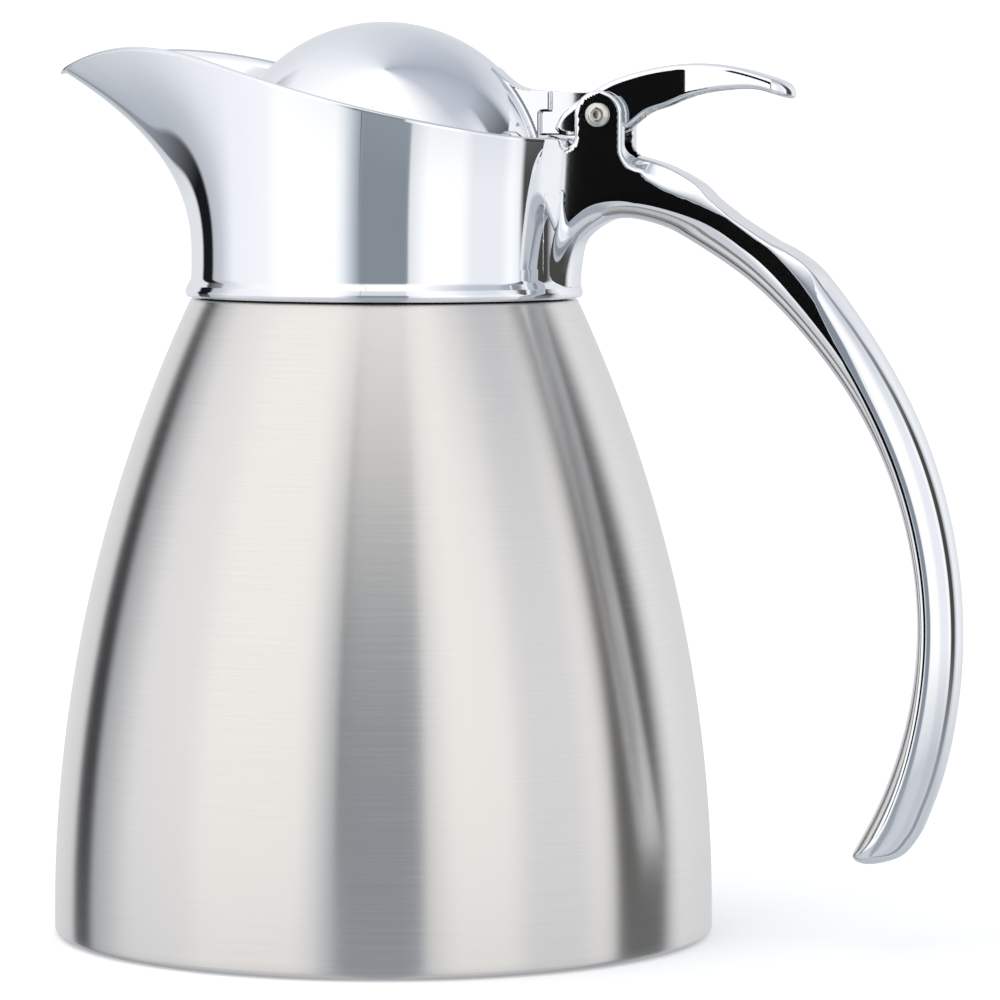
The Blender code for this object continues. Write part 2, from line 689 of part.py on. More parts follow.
def neck_half_width(x):
    """The fork's width, in to the narrow waist and out again to the grip."""
    narrow = ROOT.x + HANDLE_WAIST_AT
    grip = GRIP_CENTRE.x + GRIP_ARC * math.cos(math.radians(GRIP_TOP_ANGLE))
    inwards = eased(HINGE.x + EAR_RADIUS, narrow, x)
    outwards = eased(narrow, grip, x)
    width = HANDLE_HALF_WIDTH + (WAIST_HALF_WIDTH - HANDLE_HALF_WIDTH) * inwards
    return width + (GRIP_HALF_WIDTH - WAIST_HALF_WIDTH) * outwards


def section(centre, direction, half_thickness, half_width):
    """A rounded section across the handle's line."""
    across = Vector((-direction.z, 0.0, direction.x))
    ring = []
    for k in range(SECTION_STEPS):
        angle = 2 * math.pi * (k + 0.5) / SECTION_STEPS
        up = math.copysign(abs(math.cos(angle)) ** (2 / HANDLE_CORNERS), math.cos(angle))
        side = math.copysign(abs(math.sin(angle)) ** (2 / HANDLE_CORNERS), math.sin(angle))
        ring.append(centre + across * half_thickness * up + Vector((0, half_width * side, 0)))
    return ring


def handle_bar():
    """The handle's bar from the root to its rounded tip."""
    line = handle_line()
    places = [Vector((x, 0.0, z)) for x, z, _, _ in line]
    rings = []
    for k, (_, _, half_thickness, half_width) in enumerate(line):
        after = places[min(k + 1, len(places) - 1)]
        before = places[max(k - 1, 0)]
        direction = (after - before).normalized()
        rings.append(section(places[k], direction, half_thickness, half_width))
    half_thickness, half_width = line[-1][2:]
    for angle in (30, 58, 80):
        reach = half_thickness * math.sin(math.radians(angle))
        shrink = math.cos(math.radians(angle))
        end = places[-1] + direction * reach
        narrowed = half_width - half_thickness * (1 - shrink)
        rings.append(section(end, direction, half_thickness * shrink, narrowed))
    return skinned(rings)


def root_outline():
    """The root's side outline: an arch below, and the bar's height above."""
    foot_x = ROOT.x - ARCH_FOOT_IN
    foot_z = ROOT.z + ARCH_FOOT_RISE
    inside = COLLAR_BORE - COLLAR_WALL
    (first_x, first_z, first_t), (next_x, next_z, next_t) = HANDLE_NECK[:2]
    arch = []
    for k in range(8):
        angle = math.radians(90 * k / 7)
        x = foot_x + ARCH_LENGTH * (1 - math.cos(angle))
        arch.append((x, foot_z + ARCH_HEIGHT * math.sin(angle)))
    first_top = ROOT.z + (first_z + first_t / 2) * MM
    next_top = ROOT.z + (next_z + next_t / 2) * MM
    return [
        (inside, foot_z),
        *arch,
        (foot_x + ARCH_LENGTH, next_top - FIT_GAP),
        (ROOT.x + first_x * MM, first_top),
        (inside, first_top),
    ]


def ear_outline():
    """The fork's side outline: round the pin, then straight down into the bar."""
    foot = CHANNEL_Z - 2 * EAR_RADIUS
    rounded = arc((HINGE.x, HINGE.z), EAR_RADIUS, 0, 180, 8)
    back = [(HINGE.x + EAR_RADIUS * out, HINGE.z - EAR_RADIUS * down) for out, down in EAR_FOOT]
    front = HINGE.x - EAR_RADIUS * EAR_FRONT
    return [
        (back[0][0], foot),
        *back,
        *rounded,
        (HINGE.x - EAR_RADIUS - FIT_GAP, HINGE.z - EAR_RADIUS),
        (front, HINGE.z - EAR_RADIUS),
        (front, foot),
    ]


def channel_cutter():
    """The slot between the ears, as far as the crest's front."""
    low = (COLLAR_BORE - 2 * COLLAR_WALL, -FORK_HALF_GAP, CHANNEL_Z)
    high = (HINGE.x + CHANNEL_LENGTH, FORK_HALF_GAP, HINGE.z + 2 * EAR_RADIUS)
    return cutter("channel_cutter", box(low, high))


def rail_cutter(side):
    """What is cut away beside the crest, down to the rail on one side."""
    top = HINGE.z
    rings = []
    for out, rail, half in CREST:
        x = HINGE.x + out * MM
        near = side * half * MM
        far = side * 2 * HANDLE_HALF_WIDTH
        low = HINGE.z + rail * MM
        rings.append([Vector((x, y, z)) for y, z in ((near, low), (far, low), (far, top), (near, top))])
    return cutter("rail_cutter_left" if side < 0 else "rail_cutter_right", skinned(rings))


def make_handle(finish):
    handle = piece("handle", handle_bar(), finish)
    boolean(handle, cutter("root_block", extruded(root_outline(), HANDLE_HALF_WIDTH)), "UNION")
    for side in (-1, 1):
        boolean(handle, rail_cutter(side), "DIFFERENCE")
    boolean(handle, cutter("ear_block", extruded(ear_outline(), EAR_FACE - FIT_GAP / 4)), "UNION")
    boolean(handle, channel_cutter(), "DIFFERENCE")
    boolean(handle, cutter("collar_envelope", skinned(collar_outside(FIT_GAP))), "DIFFERENCE")
    bore = rod(PIN_RADIUS + RUN_GAP, 4 * EAR_FACE, 24)
    place = (HINGE.x, 2 * EAR_FACE, HINGE.z)
    boolean(handle, cutter("ear_bore", bore, place, (math.pi / 2, 0, 0)), "DIFFERENCE")
    return handle


# ---------------------------------------------------------------- hinge


def make_hinge_pin(finish):
    """The pin through the ears, its domed head on the near side."""
    reach = EAR_FACE + PIN_HEAD_HEIGHT
    socket = PIN_HEAD_RADIUS * 0.4
    head = arc((0, 0), 1.0, 0, 60, 3)
    dome = [(PIN_HEAD_RADIUS * c, FIT_GAP + PIN_HEAD_HEIGHT * (0.25 + 0.85 * s)) for c, s in head]
    profile = [
        (0, -2 * EAR_FACE - FIT_GAP),
        (PIN_RADIUS, -2 * EAR_FACE - FIT_GAP),
        (PIN_RADIUS, FIT_GAP),
        (PIN_HEAD_RADIUS, FIT_GAP),
        *dome,
        (socket, dome[-1][1]),
        (socket, FIT_GAP + PIN_HEAD_HEIGHT * 0.4),
        (0, FIT_GAP + PIN_HEAD_HEIGHT * 0.4),
    ]
    place = (HINGE.x, -reach + PIN_HEAD_HEIGHT, HINGE.z)
    return piece("hinge_pin", turned(profile, 24), finish, place, (math.pi / 2, 0, 0))


def make_hinge_nut(finish):
    """The domed nut on the pin's far end."""
    near = EAR_FACE + FIT_GAP
    bore = PIN_RADIUS + RUN_GAP
    deep = 3 * FIT_GAP
    profile = [
        (bore, 0),
        (PIN_HEAD_RADIUS, 0),
        (PIN_HEAD_RADIUS, deep),
        (PIN_HEAD_RADIUS * 0.6, deep + 2 * FIT_GAP),
        (0, deep + 3 * FIT_GAP),
        (0, deep),
        (bore, deep),
    ]
    return piece("hinge_nut", turned(profile, 24), finish, (HINGE.x, near, HINGE.z), (-math.pi / 2, 0, 0))


def make_hinge_sleeve(finish):
    """The plastic sleeve that the lid's knuckle turns in on the pin."""
    half = KNUCKLE_HALF_WIDTH
    profile = [(SLEEVE_BORE, -half), (SLEEVE_RADIUS, -half), (SLEEVE_RADIUS, half), (SLEEVE_BORE, half)]
    return piece("hinge_sleeve", turned(profile, 24), finish, HINGE, (math.pi / 2, 0, 0))


# ---------------------------------------------------------------- lid


def dome_height(radius, at):
    """Height of a sphere round the dome's centre, at a distance from the pot's axis."""
    return DOME_Z + math.sqrt(max(0.0, radius**2 - at**2))


def make_dome_shell(finish):
    inner = DOME_RADIUS - DOME_WALL
    profile = [
        *arc((0, DOME_Z), DOME_RADIUS, 90, 0, 8),
        (DOME_RADIUS, LID_FOOT_Z),
        (inner, LID_FOOT_Z),
        *arc((0, DOME_Z), inner, 0, 90, 5),
    ]
    return piece("lid_dome", turned(profile), finish)


def tab_outline():
    """The tab's side outline, flaring out of the dome and stepping down under the lever's roof."""
    under_roof = TAB_TOP_Z - LEVER_ROOF - FIT_GAP
    start, lift = DOME_RADIUS * TAB_START, DOME_RADIUS * TAB_LIFT
    return [
        (start, dome_height(DOME_RADIUS, start) - FIT_GAP),
        (lift, dome_height(DOME_RADIUS, lift) - FIT_GAP / 3),
        *[(DOME_RADIUS * share, TAB_TOP_Z + rise) for share, rise in TAB_FLARE],
        (HINGE.x + TAB_STEP, TAB_TOP_Z),
        (HINGE.x + TAB_STEP, under_roof),
        (HINGE.x + TAB_TAIL, under_roof),
        (HINGE.x + TAB_TAIL, TAB_FOOT_Z),
        (start, TAB_FOOT_Z),
    ]


def web_outline():
    """The web between the dome's back and the knuckle, under the tab."""
    top = TAB_TOP_Z - TAB_THICKNESS / 2
    foot = HINGE.z - WEB_DROP
    inside = DOME_RADIUS - DOME_WALL / 2
    return [
        (math.sqrt(inside**2 - (top - DOME_Z) ** 2), top),
        (math.sqrt(inside**2 - (foot - DOME_Z) ** 2), foot),
        (HINGE.x + WEB_FOOT_END, foot),
        (HINGE.x + WEB_TOP_END, top),
    ]


def knuckle_outline():
    """The block under the tab, rounded about the pin."""
    top = TAB_TOP_Z - TAB_THICKNESS / 2
    start = HINGE.x + KNUCKLE_START
    rounded = arc((HINGE.x, HINGE.z), KNUCKLE_RADIUS, -90, 0, 4)
    return [(start, HINGE.z - KNUCKLE_RADIUS), *rounded, (HINGE.x + KNUCKLE_RADIUS, top), (start, top)]


def make_lid_dome(finish):
    """The chrome dome with its tab, web, knuckle and three screw bosses, in one casting."""
    dome = make_dome_shell(finish)
    tab = cutter("tab_block", extruded(tab_outline(), TAB_HALF_WIDTH))
    for name, side in (("left", -1), ("right", 1)):
        near, far = sorted((side * KNUCKLE_HALF_WIDTH, side * 2 * TAB_HALF_WIDTH))
        low = (HINGE.x + TAB_NARROWS, near, HINGE.z - 2 * TAB_THICKNESS)
        high = (HINGE.x + 2 * TAB_TAIL, far, HINGE.z + 2 * TAB_THICKNESS)
        boolean(tab, cutter(f"tab_side_{name}", box(low, high)), "DIFFERENCE")
    boolean(dome, tab, "UNION")
    boolean(dome, cutter("web_block", extruded(web_outline(), TAB_HALF_WIDTH)), "UNION")
    boolean(dome, cutter("knuckle_block", extruded(knuckle_outline(), KNUCKLE_HALF_WIDTH)), "UNION")
    bore = rod(SLEEVE_RADIUS + RUN_GAP, 4 * TAB_HALF_WIDTH, 24)
    place = (HINGE.x, 2 * TAB_HALF_WIDTH, HINGE.z)
    boolean(dome, cutter("knuckle_bore", bore, place, (math.pi / 2, 0, 0)), "DIFFERENCE")
    for k, (x, y) in enumerate(lid_screw_places()):
        height = dome_height(DOME_RADIUS - DOME_WALL / 2, LID_SCREW_CIRCLE + BOSS_RADIUS) - BOSS_Z
        boss = cutter(f"boss_{k + 1}", rod(BOSS_RADIUS, height), (x, y, BOSS_Z))
        boolean(dome, boss, "UNION")
        hole = rod(SCREW_RADIUS + FIT_GAP, 2 * LID_SCREW_GRIP, 12)
        boolean(dome, cutter(f"boss_hole_{k + 1}", hole, (x, y, BOSS_Z - MM)), "DIFFERENCE")
    x, z = lever_screw_place()
    hole = rod(SCREW_RADIUS + FIT_GAP, 3 * TAB_THICKNESS, 12)
    boolean(dome, cutter("tab_screw_hole", hole, (x, 0, z - TAB_THICKNESS)), "DIFFERENCE")
    return dome


def lid_screw_places():
    turns = [math.pi + 2 * math.pi * k / LID_SCREW_COUNT for k in range(LID_SCREW_COUNT)]
    return [(LID_SCREW_CIRCLE * math.cos(a), LID_SCREW_CIRCLE * math.sin(a)) for a in turns]


def make_lid_liner(finish):
    radius = DOME_RADIUS - DOME_WALL - FIT_GAP
    profile = [
        (0, LID_FOOT_Z),
        (radius, LID_FOOT_Z),
        (radius, LINER_TOP_Z),
        (radius - LINER_THICKNESS, LINER_TOP_Z),
        (radius - LINER_THICKNESS, LINER_TOP_Z - LINER_THICKNESS / 4),
        (0, LINER_TOP_Z - LINER_THICKNESS / 4),
    ]
    liner = piece("lid_liner", turned(profile), finish)
    for k, (x, y) in enumerate(lid_screw_places()):
        place = (x, y, LID_FOOT_Z - LINER_THICKNESS)
        hole = cutter(f"liner_hole_{k + 1}", rod(SCREW_RADIUS + FIT_GAP, 3 * LINER_THICKNESS, 12), place)
        boolean(liner, hole, "DIFFERENCE")
    return liner


def make_lid_gasket(finish):
    outer = DOME_RADIUS - FIT_GAP
    inner = outer - LID_GASKET_WIDTH
    top = GASKET_Z + LID_GASKET_THICKNESS
    lip = outer - LID_GASKET_WIDTH / 3
    profile = [
        (inner, GASKET_Z + LID_GASKET_THICKNESS / 2),
        (lip, GASKET_Z),
        (outer, GASKET_Z),
        (outer, top),
        (inner, top),
    ]
    return piece("lid_gasket", turned(profile), finish)


def make_lid_screws(finish):
    names = ("lid_screw_front", "lid_screw_left", "lid_screw_right")
    length = LINER_THICKNESS + LID_SCREW_GRIP
    for name, (x, y) in zip(names, lid_screw_places()):
        screw(name, length, finish, (x, y, LID_FOOT_Z - FIT_GAP), (math.pi, 0, 0))


# ---------------------------------------------------------------- lever


def lever_half_width(x):
    """The lever's half width: even at the hinge, wider under the thumb, round at its tip."""
    out = x - HINGE.x
    width = LEVER_HALF_WIDTH + (THUMB_HALF_WIDTH - LEVER_HALF_WIDTH) * eased(THUMB_START, THUMB_FULL, out)
    tip = LEVER_TOP[-1][0] * MM
    left = max(0.0, tip - out)
    if left < THUMB_HALF_WIDTH:
        width = min(width, math.sqrt(max(0.01, 1 - (1 - left / THUMB_HALF_WIDTH) ** 2)) * width)
    return width


def outline_at(points, x):
    """The height of a line of (x, z) points at x."""
    ordered = sorted(points)
    for (x0, z0), (x1, z1) in zip(ordered, ordered[1:]):
        if x0 <= x <= x1 and x1 > x0:
            return z0 + (z1 - z0) * (x - x0) / (x1 - x0)
    return ordered[-1][1] if x > ordered[-1][0] else ordered[0][1]


def lever_top():
    """The lever's top line above the hinge axis, smoothed."""
    return smooth_through([(x * MM, z * MM) for x, z in LEVER_TOP[1:]], 3)


def lever_stations():
    """(x, top, bottom, half width) along the lever, from its nose to its tip."""
    top = [(point.x, point.y) for point in lever_top()]
    below = [(x * MM, z * MM) for x, z in (LEVER_TOP[0], *reversed(LEVER_BELOW))]
    stations = []
    for place in (*LEVER_OPEN_PLACES, *LEVER_TIP_PLACES):
        out = place * MM
        x = HINGE.x + out
        high, low = HINGE.z + outline_at(top, out), HINGE.z + outline_at(below, out)
        stations.append((x, high, low, lever_half_width(x)))
    return stations


def block_ring(x, half, low, high):
    return [Vector((x, y, z)) for y, z in ((-half, low), (half, low), (half, high), (-half, high))]


def make_thumb_lever(finish):
    """The lever: a channel open below, whose cheeks hold the tab's knuckle."""
    stations = lever_stations()
    solid = [block_ring(x, half, bottom, top) for x, top, bottom, half in stations]
    hollow = []
    for x, top, bottom, half in stations[: len(LEVER_OPEN_PLACES)]:
        roof = top - LEVER_ROOF if x > HINGE.x + LEVER_ROOF_START else top + LEVER_ROOF
        hollow.append(block_ring(x, half - LEVER_CHEEK, bottom - LEVER_ROOF, roof))
    lead = [point - Vector((LEVER_ROOF, 0, 0)) for point in hollow[0]]
    lever = piece("thumb_lever", skinned(solid), finish)
    boolean(lever, cutter("lever_hollow", skinned([lead, *hollow])), "DIFFERENCE")
    screw_x, _ = lever_screw_place()
    low = TAB_TOP_Z - LEVER_ROOF
    top = HINGE.z + outline_at([(point.x, point.y) for point in lever_top()], LEVER_SCREW_OUT)
    boss = rod(LEVER_BOSS_RADIUS, top - low - LEVER_ROOF / 2)
    boolean(lever, cutter("lever_boss", boss, (screw_x, 0, low)), "UNION")
    hole = rod(SCREW_RADIUS + FIT_GAP, top - low - LEVER_ROOF, 12)
    boolean(lever, cutter("lever_screw_hole", hole, (screw_x, 0, low - MM)), "DIFFERENCE")
    bore = rod(PIN_RADIUS + RUN_GAP, 4 * LEVER_HALF_WIDTH, 24)
    place = (HINGE.x, 2 * LEVER_HALF_WIDTH, HINGE.z)
    boolean(lever, cutter("lever_bore", bore, place, (math.pi / 2, 0, 0)), "DIFFERENCE")
    return lever


def lever_screw_place():
    """Where the lever's screw passes the tab's tail: x, and the height of its head's seat."""
    return HINGE.x + LEVER_SCREW_OUT, TAB_FOOT_Z - FIT_GAP


def make_lever_screw(finish):
    x, z = lever_screw_place()
    return screw("lever_screw", LEVER_SCREW_LENGTH, finish, (x, 0, z), (math.pi, 0, 0), LEVER_SCREW_HEAD)


# ---------------------------------------------------------------- assembly


def main():
    clear_scene()
    finish = finishes()
    make_outer_shell(finish["brushed"])
    make_inner_flask(finish["steel"])
    make_base_pan(finish["steel"])
    make_vacuum_plug(finish["getter"])
    make_getter_disc(finish["getter"])
    make_base_cover(finish["plastic"])
    make_shoulder_gasket(finish["seal"])
    make_collar(finish["chrome"])
    make_lock_ring(finish["plastic"])
    make_mouth_seal(finish["seal"])
    make_pour_insert(finish["plastic"])
    make_handle(finish["chrome"])
    make_hinge_pin(finish["fastener"])
    make_hinge_nut(finish["fastener"])

    before = set(bpy.data.objects)
    make_hinge_sleeve(finish["plastic"])
    make_lid_dome(finish["chrome"])
    make_lid_liner(finish["plastic"])
    make_lid_gasket(finish["seal"])
    make_lid_screws(finish["fastener"])
    make_thumb_lever(finish["chrome"])
    make_lever_screw(finish["fastener"])
    lid_pieces = set(bpy.data.objects) - before

    pivot = bpy.data.objects.new("lid_pivot", None)
    pivot.location = HINGE
    bpy.context.scene.collection.objects.link(pivot)
    hang_on(pivot, sorted(lid_pieces, key=lambda each: each.name))


main()
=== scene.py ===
import json
import math

import bmesh
import bpy
import numpy as np
from mathutils import Matrix, Vector


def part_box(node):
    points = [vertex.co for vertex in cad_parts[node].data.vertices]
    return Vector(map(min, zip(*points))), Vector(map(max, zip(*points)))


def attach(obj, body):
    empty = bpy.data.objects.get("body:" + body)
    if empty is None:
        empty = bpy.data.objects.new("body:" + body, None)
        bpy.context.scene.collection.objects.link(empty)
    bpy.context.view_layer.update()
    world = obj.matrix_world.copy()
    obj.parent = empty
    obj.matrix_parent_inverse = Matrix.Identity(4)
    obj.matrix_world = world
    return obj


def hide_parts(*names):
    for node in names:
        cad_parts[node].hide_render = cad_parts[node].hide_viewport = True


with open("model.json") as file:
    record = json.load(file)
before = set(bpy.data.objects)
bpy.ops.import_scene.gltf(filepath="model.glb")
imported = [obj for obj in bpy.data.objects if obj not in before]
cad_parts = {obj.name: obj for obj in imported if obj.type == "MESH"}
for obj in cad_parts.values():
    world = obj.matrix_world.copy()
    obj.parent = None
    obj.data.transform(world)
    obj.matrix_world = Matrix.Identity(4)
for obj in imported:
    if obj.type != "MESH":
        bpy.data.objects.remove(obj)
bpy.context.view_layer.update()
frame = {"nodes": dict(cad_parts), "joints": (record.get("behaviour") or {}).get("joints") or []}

MM = 0.001
GAP = 0.3  # millimetres between neighbours that don't touch

# Places read from the frame, in millimetres
BODY_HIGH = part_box("outer_shell")[1] / MM
COLLAR_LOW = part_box("collar")[0] / MM
GASKET_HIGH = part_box("lid_gasket")[1] / MM
HINGE = Vector(frame["joints"][0]["pos_m"]) / MM

# Bottle, in millimetres as all sizes below
BASE_RADIUS = BODY_HIGH.y
SHOULDER_Z = 108.7
COLLAR_RADIUS = 33.0
UPRIGHT_Z = 3.4
SHELL_WALL = 0.8
VACUUM_GAP = 4.0
COVER_RIM = 2.4
NECK_RADIUS = 27.9
NECK_TOP_Z = 118.7
MOUTH_RADIUS = 24.6

# Collar and spout
COLLAR_WALL = 1.5
LEDGE_BORE = NECK_RADIUS + GAP
LEDGE_LOW_Z, LEDGE_HIGH_Z = 110.8, 112.8
WAIST_Z = SHOULDER_Z + 7.3
RIM_FLARE = 1.0
SPOUT_REACH = -COLLAR_LOW.x
SPOUT_TIP_RADIUS = 4.9
SPOUT_FLARE_POWER = 2.2
FRONT_SHARE = 0.6
RIM_CURVE = (
    (0.0, 38.9),
    (0.053, 41.0),
    (0.171, 42.8),
    (0.268, 42.1),
    (0.44, 38.2),
    (0.634, 33.5),
    (0.828, 29.5),
    (0.957, 27.5),
    (1.0, 27.3),
)

# Lid
DOME_RADIUS = 28.4
DOME_Z = 127.4
DOME_WALL = 1.2
LID_FOOT_Z = GASKET_HIGH.z + GAP
LID_SCREW_CIRCLE = 17.0

# Hinge and lever; heights of the tab are above the hinge axis, and places along it are out from the axis
EAR_RADIUS = 4.1
EAR_FACE = 6.5
FORK_HALF_GAP = 3.5
FORK_GAP_END = 6.0
FORK_FLOOR_Z = 131.4
PIN_RADIUS = 1.3
PIN_HEAD_RADIUS = 2.0
PIN_CLEARANCE = 0.2
SLEEVE_RADIUS = 2.0
KNUCKLE_RADIUS = 3.4
TAB_HALF = 2.1
TAB_TOP, TAB_FOOT = 2.5, 0.6
TAB_END = 7.6
SCREW_OUT = 5.6
SCREW_HOLE_RADIUS = 1.2

# ---------------------------------------------------------------- shapes

SHARP_ANGLE = math.radians(34)


def flowing(points):
    """A smooth line through (at, value) points, as a function that takes arrays."""
    at, value = np.array(points, float).T
    slope = np.gradient(value, at)

    def line(x):
        x = np.clip(x, at[0], at[-1])
        k = np.clip(np.searchsorted(at, x) - 1, 0, len(at) - 2)
        span = at[k + 1] - at[k]
        t = (x - at[k]) / span
        ends = value[k] * (2 * t**3 - 3 * t**2 + 1) + value[k + 1] * (3 * t**2 - 2 * t**3)
        return ends + span * (slope[k] * (t**3 - 2 * t**2 + t) + slope[k + 1] * (t**3 - t**2))

    return line


def eased(low, high, at):
    t = np.clip((at - low) / (high - low), 0.0, 1.0)
    return t * t * (3 - 2 * t)


def rounded(outline, steps=6):
    """A closed outline of (r, z, corner radius) points as a polyline with its corners rounded off."""
    line = []
    for k, (r, z, radius) in enumerate(outline):
        here = Vector((r, z))
        if radius == 0:
            line.append((r, z))
            continue
        back = (Vector(outline[k - 1][:2]) - here).normalized()
        on = (Vector(outline[(k + 1) % len(outline)][:2]) - here).normalized()
        half = back.angle(on) / 2
        reach = radius / math.tan(half)
        start, end = here + back * reach, here + on * reach
        middle = here + (back + on).normalized() * radius / math.sin(half)
        for step in range(steps + 1):
            spoke = (start - middle).slerp(end - middle, step / steps)
            point = middle + spoke.normalized() * radius
            line.append((max(0.0, point.x), point.y))
    return line


def show(name, mesh, material, body, slot, *nodes):
    """Puts a mesh on show: its finish, its body and the CAD nodes that it stands for. The slot is not used.
    """
    mesh.materials.append(material)
    made = bpy.data.objects.new(name, mesh)
    bpy.context.scene.collection.objects.link(made)
    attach(made, body)
    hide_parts(*nodes)


def mesh_of(bm):
    bmesh.ops.recalc_face_normals(bm, faces=bm.faces)
    mesh = bpy.data.meshes.new("mesh")
    bm.to_mesh(mesh)
    bm.free()
    mesh.shade_smooth()
    mesh.set_sharp_from_angle(angle=SHARP_ANGLE)
    return mesh


def turned(profile, steps=192, matrix=None):
    """A closed (r, z) profile in millimetres, turned round Z, then placed by the matrix."""
    bm = bmesh.new()
    angles = [2 * math.pi * k / steps for k in range(steps)]
    rings = []
    for r, z in profile:
        if r < 1e-4:
            rings.append([bm.verts.new((0, 0, z * MM))])
        else:
            ring = [(r * MM * math.cos(a), r * MM * math.sin(a), z * MM) for a in angles]
            rings.append([bm.verts.new(point) for point in ring])
    for k, ring in enumerate(rings):
        below = rings[k - 1]
        if len(ring) == 1 and len(below) == 1:
            continue
        for j in range(steps):
            round_face = ((below, j), (below, j + 1), (ring, j + 1), (ring, j))
            corners = dict.fromkeys(line[at % len(line)] for line, at in round_face)  # a pole comes up twice
            bm.faces.new(list(corners))
    if matrix is not None:
        bm.transform(matrix)
    return mesh_of(bm)


def lofted(rings):
    """A closed skin through rings, the last joined to the first."""
    bm = bmesh.new()
    loops = [[bm.verts.new(Vector(point) * MM) for point in ring] for ring in rings]
    count = len(loops[0])
    for k in range(len(loops)):
        for j in range(count):
            bm.faces.new((loops[k - 1][j - 1], loops[k - 1][j], loops[k][j], loops[k][j - 1]))
    return mesh_of(bm)


# Solids given by distance: a field is below 0 inside and above 0 outside


def meet(a, b, radius=0.0):
    """Both solids' common part, with a rounded outer edge."""
    if np.all(radius == 0):
        return np.maximum(a, b)
    corner = np.hypot(np.maximum(radius + a, 0), np.maximum(radius + b, 0))
    return np.minimum(-radius, np.maximum(a, b)) + corner


def join(a, b, radius=0.0):
    """Both solids together, with a hollow fillet where they meet."""
    if np.all(radius == 0):
        return np.minimum(a, b)
    corner = np.hypot(np.maximum(radius - a, 0), np.maximum(radius - b, 0))
    return np.maximum(radius, np.minimum(a, b)) - corner


CELL_CORNERS = np.array([(i, j, k) for i in (0, 1) for j in (0, 1) for k in (0, 1)])
CELL_EDGES = [
    (a, b) for a in range(8) for b in range(a + 1, 8) if abs(CELL_CORNERS[a] - CELL_CORNERS[b]).sum() == 1
]
LONGEST_MOVE = 0.3
LEAST_SLOPE = 0.2


def carved(field, axes, place=lambda grid: grid):
    """The skin of a solid field. The axes are three evenly spaced lists of grid coordinates, which place()
    turns into points; each grid cell that the skin crosses gets one vertex, moved onto the skin."""
    grid = np.stack(np.meshgrid(*axes, indexing="ij"), axis=-1)
    value = field(place(grid.reshape(-1, 3))).reshape(grid.shape[:3])
    cells, middles = crossed_cells(value)
    first = np.array([axis[0] for axis in axes])
    pitch = np.array([axis[1] - axis[0] for axis in axes])
    points = place(first + pitch * middles)
    for _ in range(4):
        slope = steepest(field, points)
        size = np.maximum((slope**2).sum(1, keepdims=True), LEAST_SLOPE**2)
        points -= np.clip(field(points)[:, None] * slope / size, -LONGEST_MOVE, LONGEST_MOVE)
    mesh = bpy.data.meshes.new("mesh")
    mesh.from_pydata((points * MM).tolist(), [], skin_faces(value < 0, cells).tolist())
    mesh.update()
    mesh.shade_smooth()
    slope = steepest(field, points)
    mesh.normals_split_custom_set_from_vertices(slope / np.linalg.norm(slope, axis=1, keepdims=True))
    return mesh


def crossed_cells(value):
    """The grid cells that the skin crosses, and the middle of each cell's crossings, in grid steps."""
    inside = value < 0
    wide, deep, high = (size - 1 for size in value.shape)
    filled = sum(inside[i : wide + i, j : deep + j, k : high + k].astype(np.int8) for i, j, k in CELL_CORNERS)
    cells = np.argwhere((filled > 0) & (filled < 8))
    total = np.zeros((len(cells), 3))
    count = np.zeros((len(cells), 1))
    for a, b in CELL_EDGES:
        start, end = cells + CELL_CORNERS[a], cells + CELL_CORNERS[b]
        low, top = value[tuple(start.T)], value[tuple(end.T)]
        crossed = (low < 0) != (top < 0)
        share = np.where(crossed, low / np.where(crossed, low - top, 1.0), 0.0)[:, None]
        total += np.where(crossed[:, None], start + (end - start) * share, 0.0)
        count += crossed[:, None]
    return cells, total / count


def skin_faces(inside, cells):
    """One face for each grid edge that the skin crosses, through the four cells round it, facing out."""
    number = np.full([size - 1 for size in inside.shape], -1)
    number[tuple(cells.T)] = np.arange(len(cells))
    unit = np.eye(3, dtype=int)
    faces = []
    for axis in range(3):
        one, two = (other for other in range(3) if other != axis)
        near = np.argwhere(np.diff(inside.astype(np.int8), axis=axis) != 0)
        for side in (one, two):
            near = near[(near[:, side] > 0) & (near[:, side] < inside.shape[side] - 1)]
        round_edge = (unit[two], 0 * unit[one], unit[one], unit[one] + unit[two])
        quads = np.stack([number[tuple((near - back).T)] for back in round_edge], axis=1)
        leaving = inside[tuple(near.T)]
        backwards = leaving if axis == 1 else ~leaving
        quads[backwards] = quads[backwards][:, ::-1]
        faces.append(quads)
    return np.concatenate(faces)


def steepest(field, points):
    """The field's gradient at points."""
    small = 0.02
    moves = np.eye(3) * small
    return np.stack([(field(points + m) - field(points - m)) / (2 * small) for m in moves], axis=1)


def steps(low, high, pitch):
    """Evenly spaced grid coordinates that run a little past both ends."""
    count = math.ceil((high - low) / pitch) + 3
    return low - pitch + pitch * np.arange(count)


# ---------------------------------------------------------------- finishes


class Link:
    """A shader socket that can be added, multiplied and divided like a number."""

    def __init__(self, tree, socket):
        self.tree = tree
        self.socket = socket

    def math(self, operation, *values):
        return node(self.tree, "ShaderNodeMath", {"operation": operation}, dict(enumerate(values)))

    def __add__(self, other):
        return self.math("ADD", self, other)

    def __radd__(self, other):
        return self.math("ADD", other, self)

    def __mul__(self, other):
        return self.math("MULTIPLY", self, other)

    def __rmul__(self, other):
        return self.math("MULTIPLY", other, self)

    def __truediv__(self, other):
        return self.math("DIVIDE", self, other)

    def __neg__(self):
        return self.math("MULTIPLY", self, -1.0)


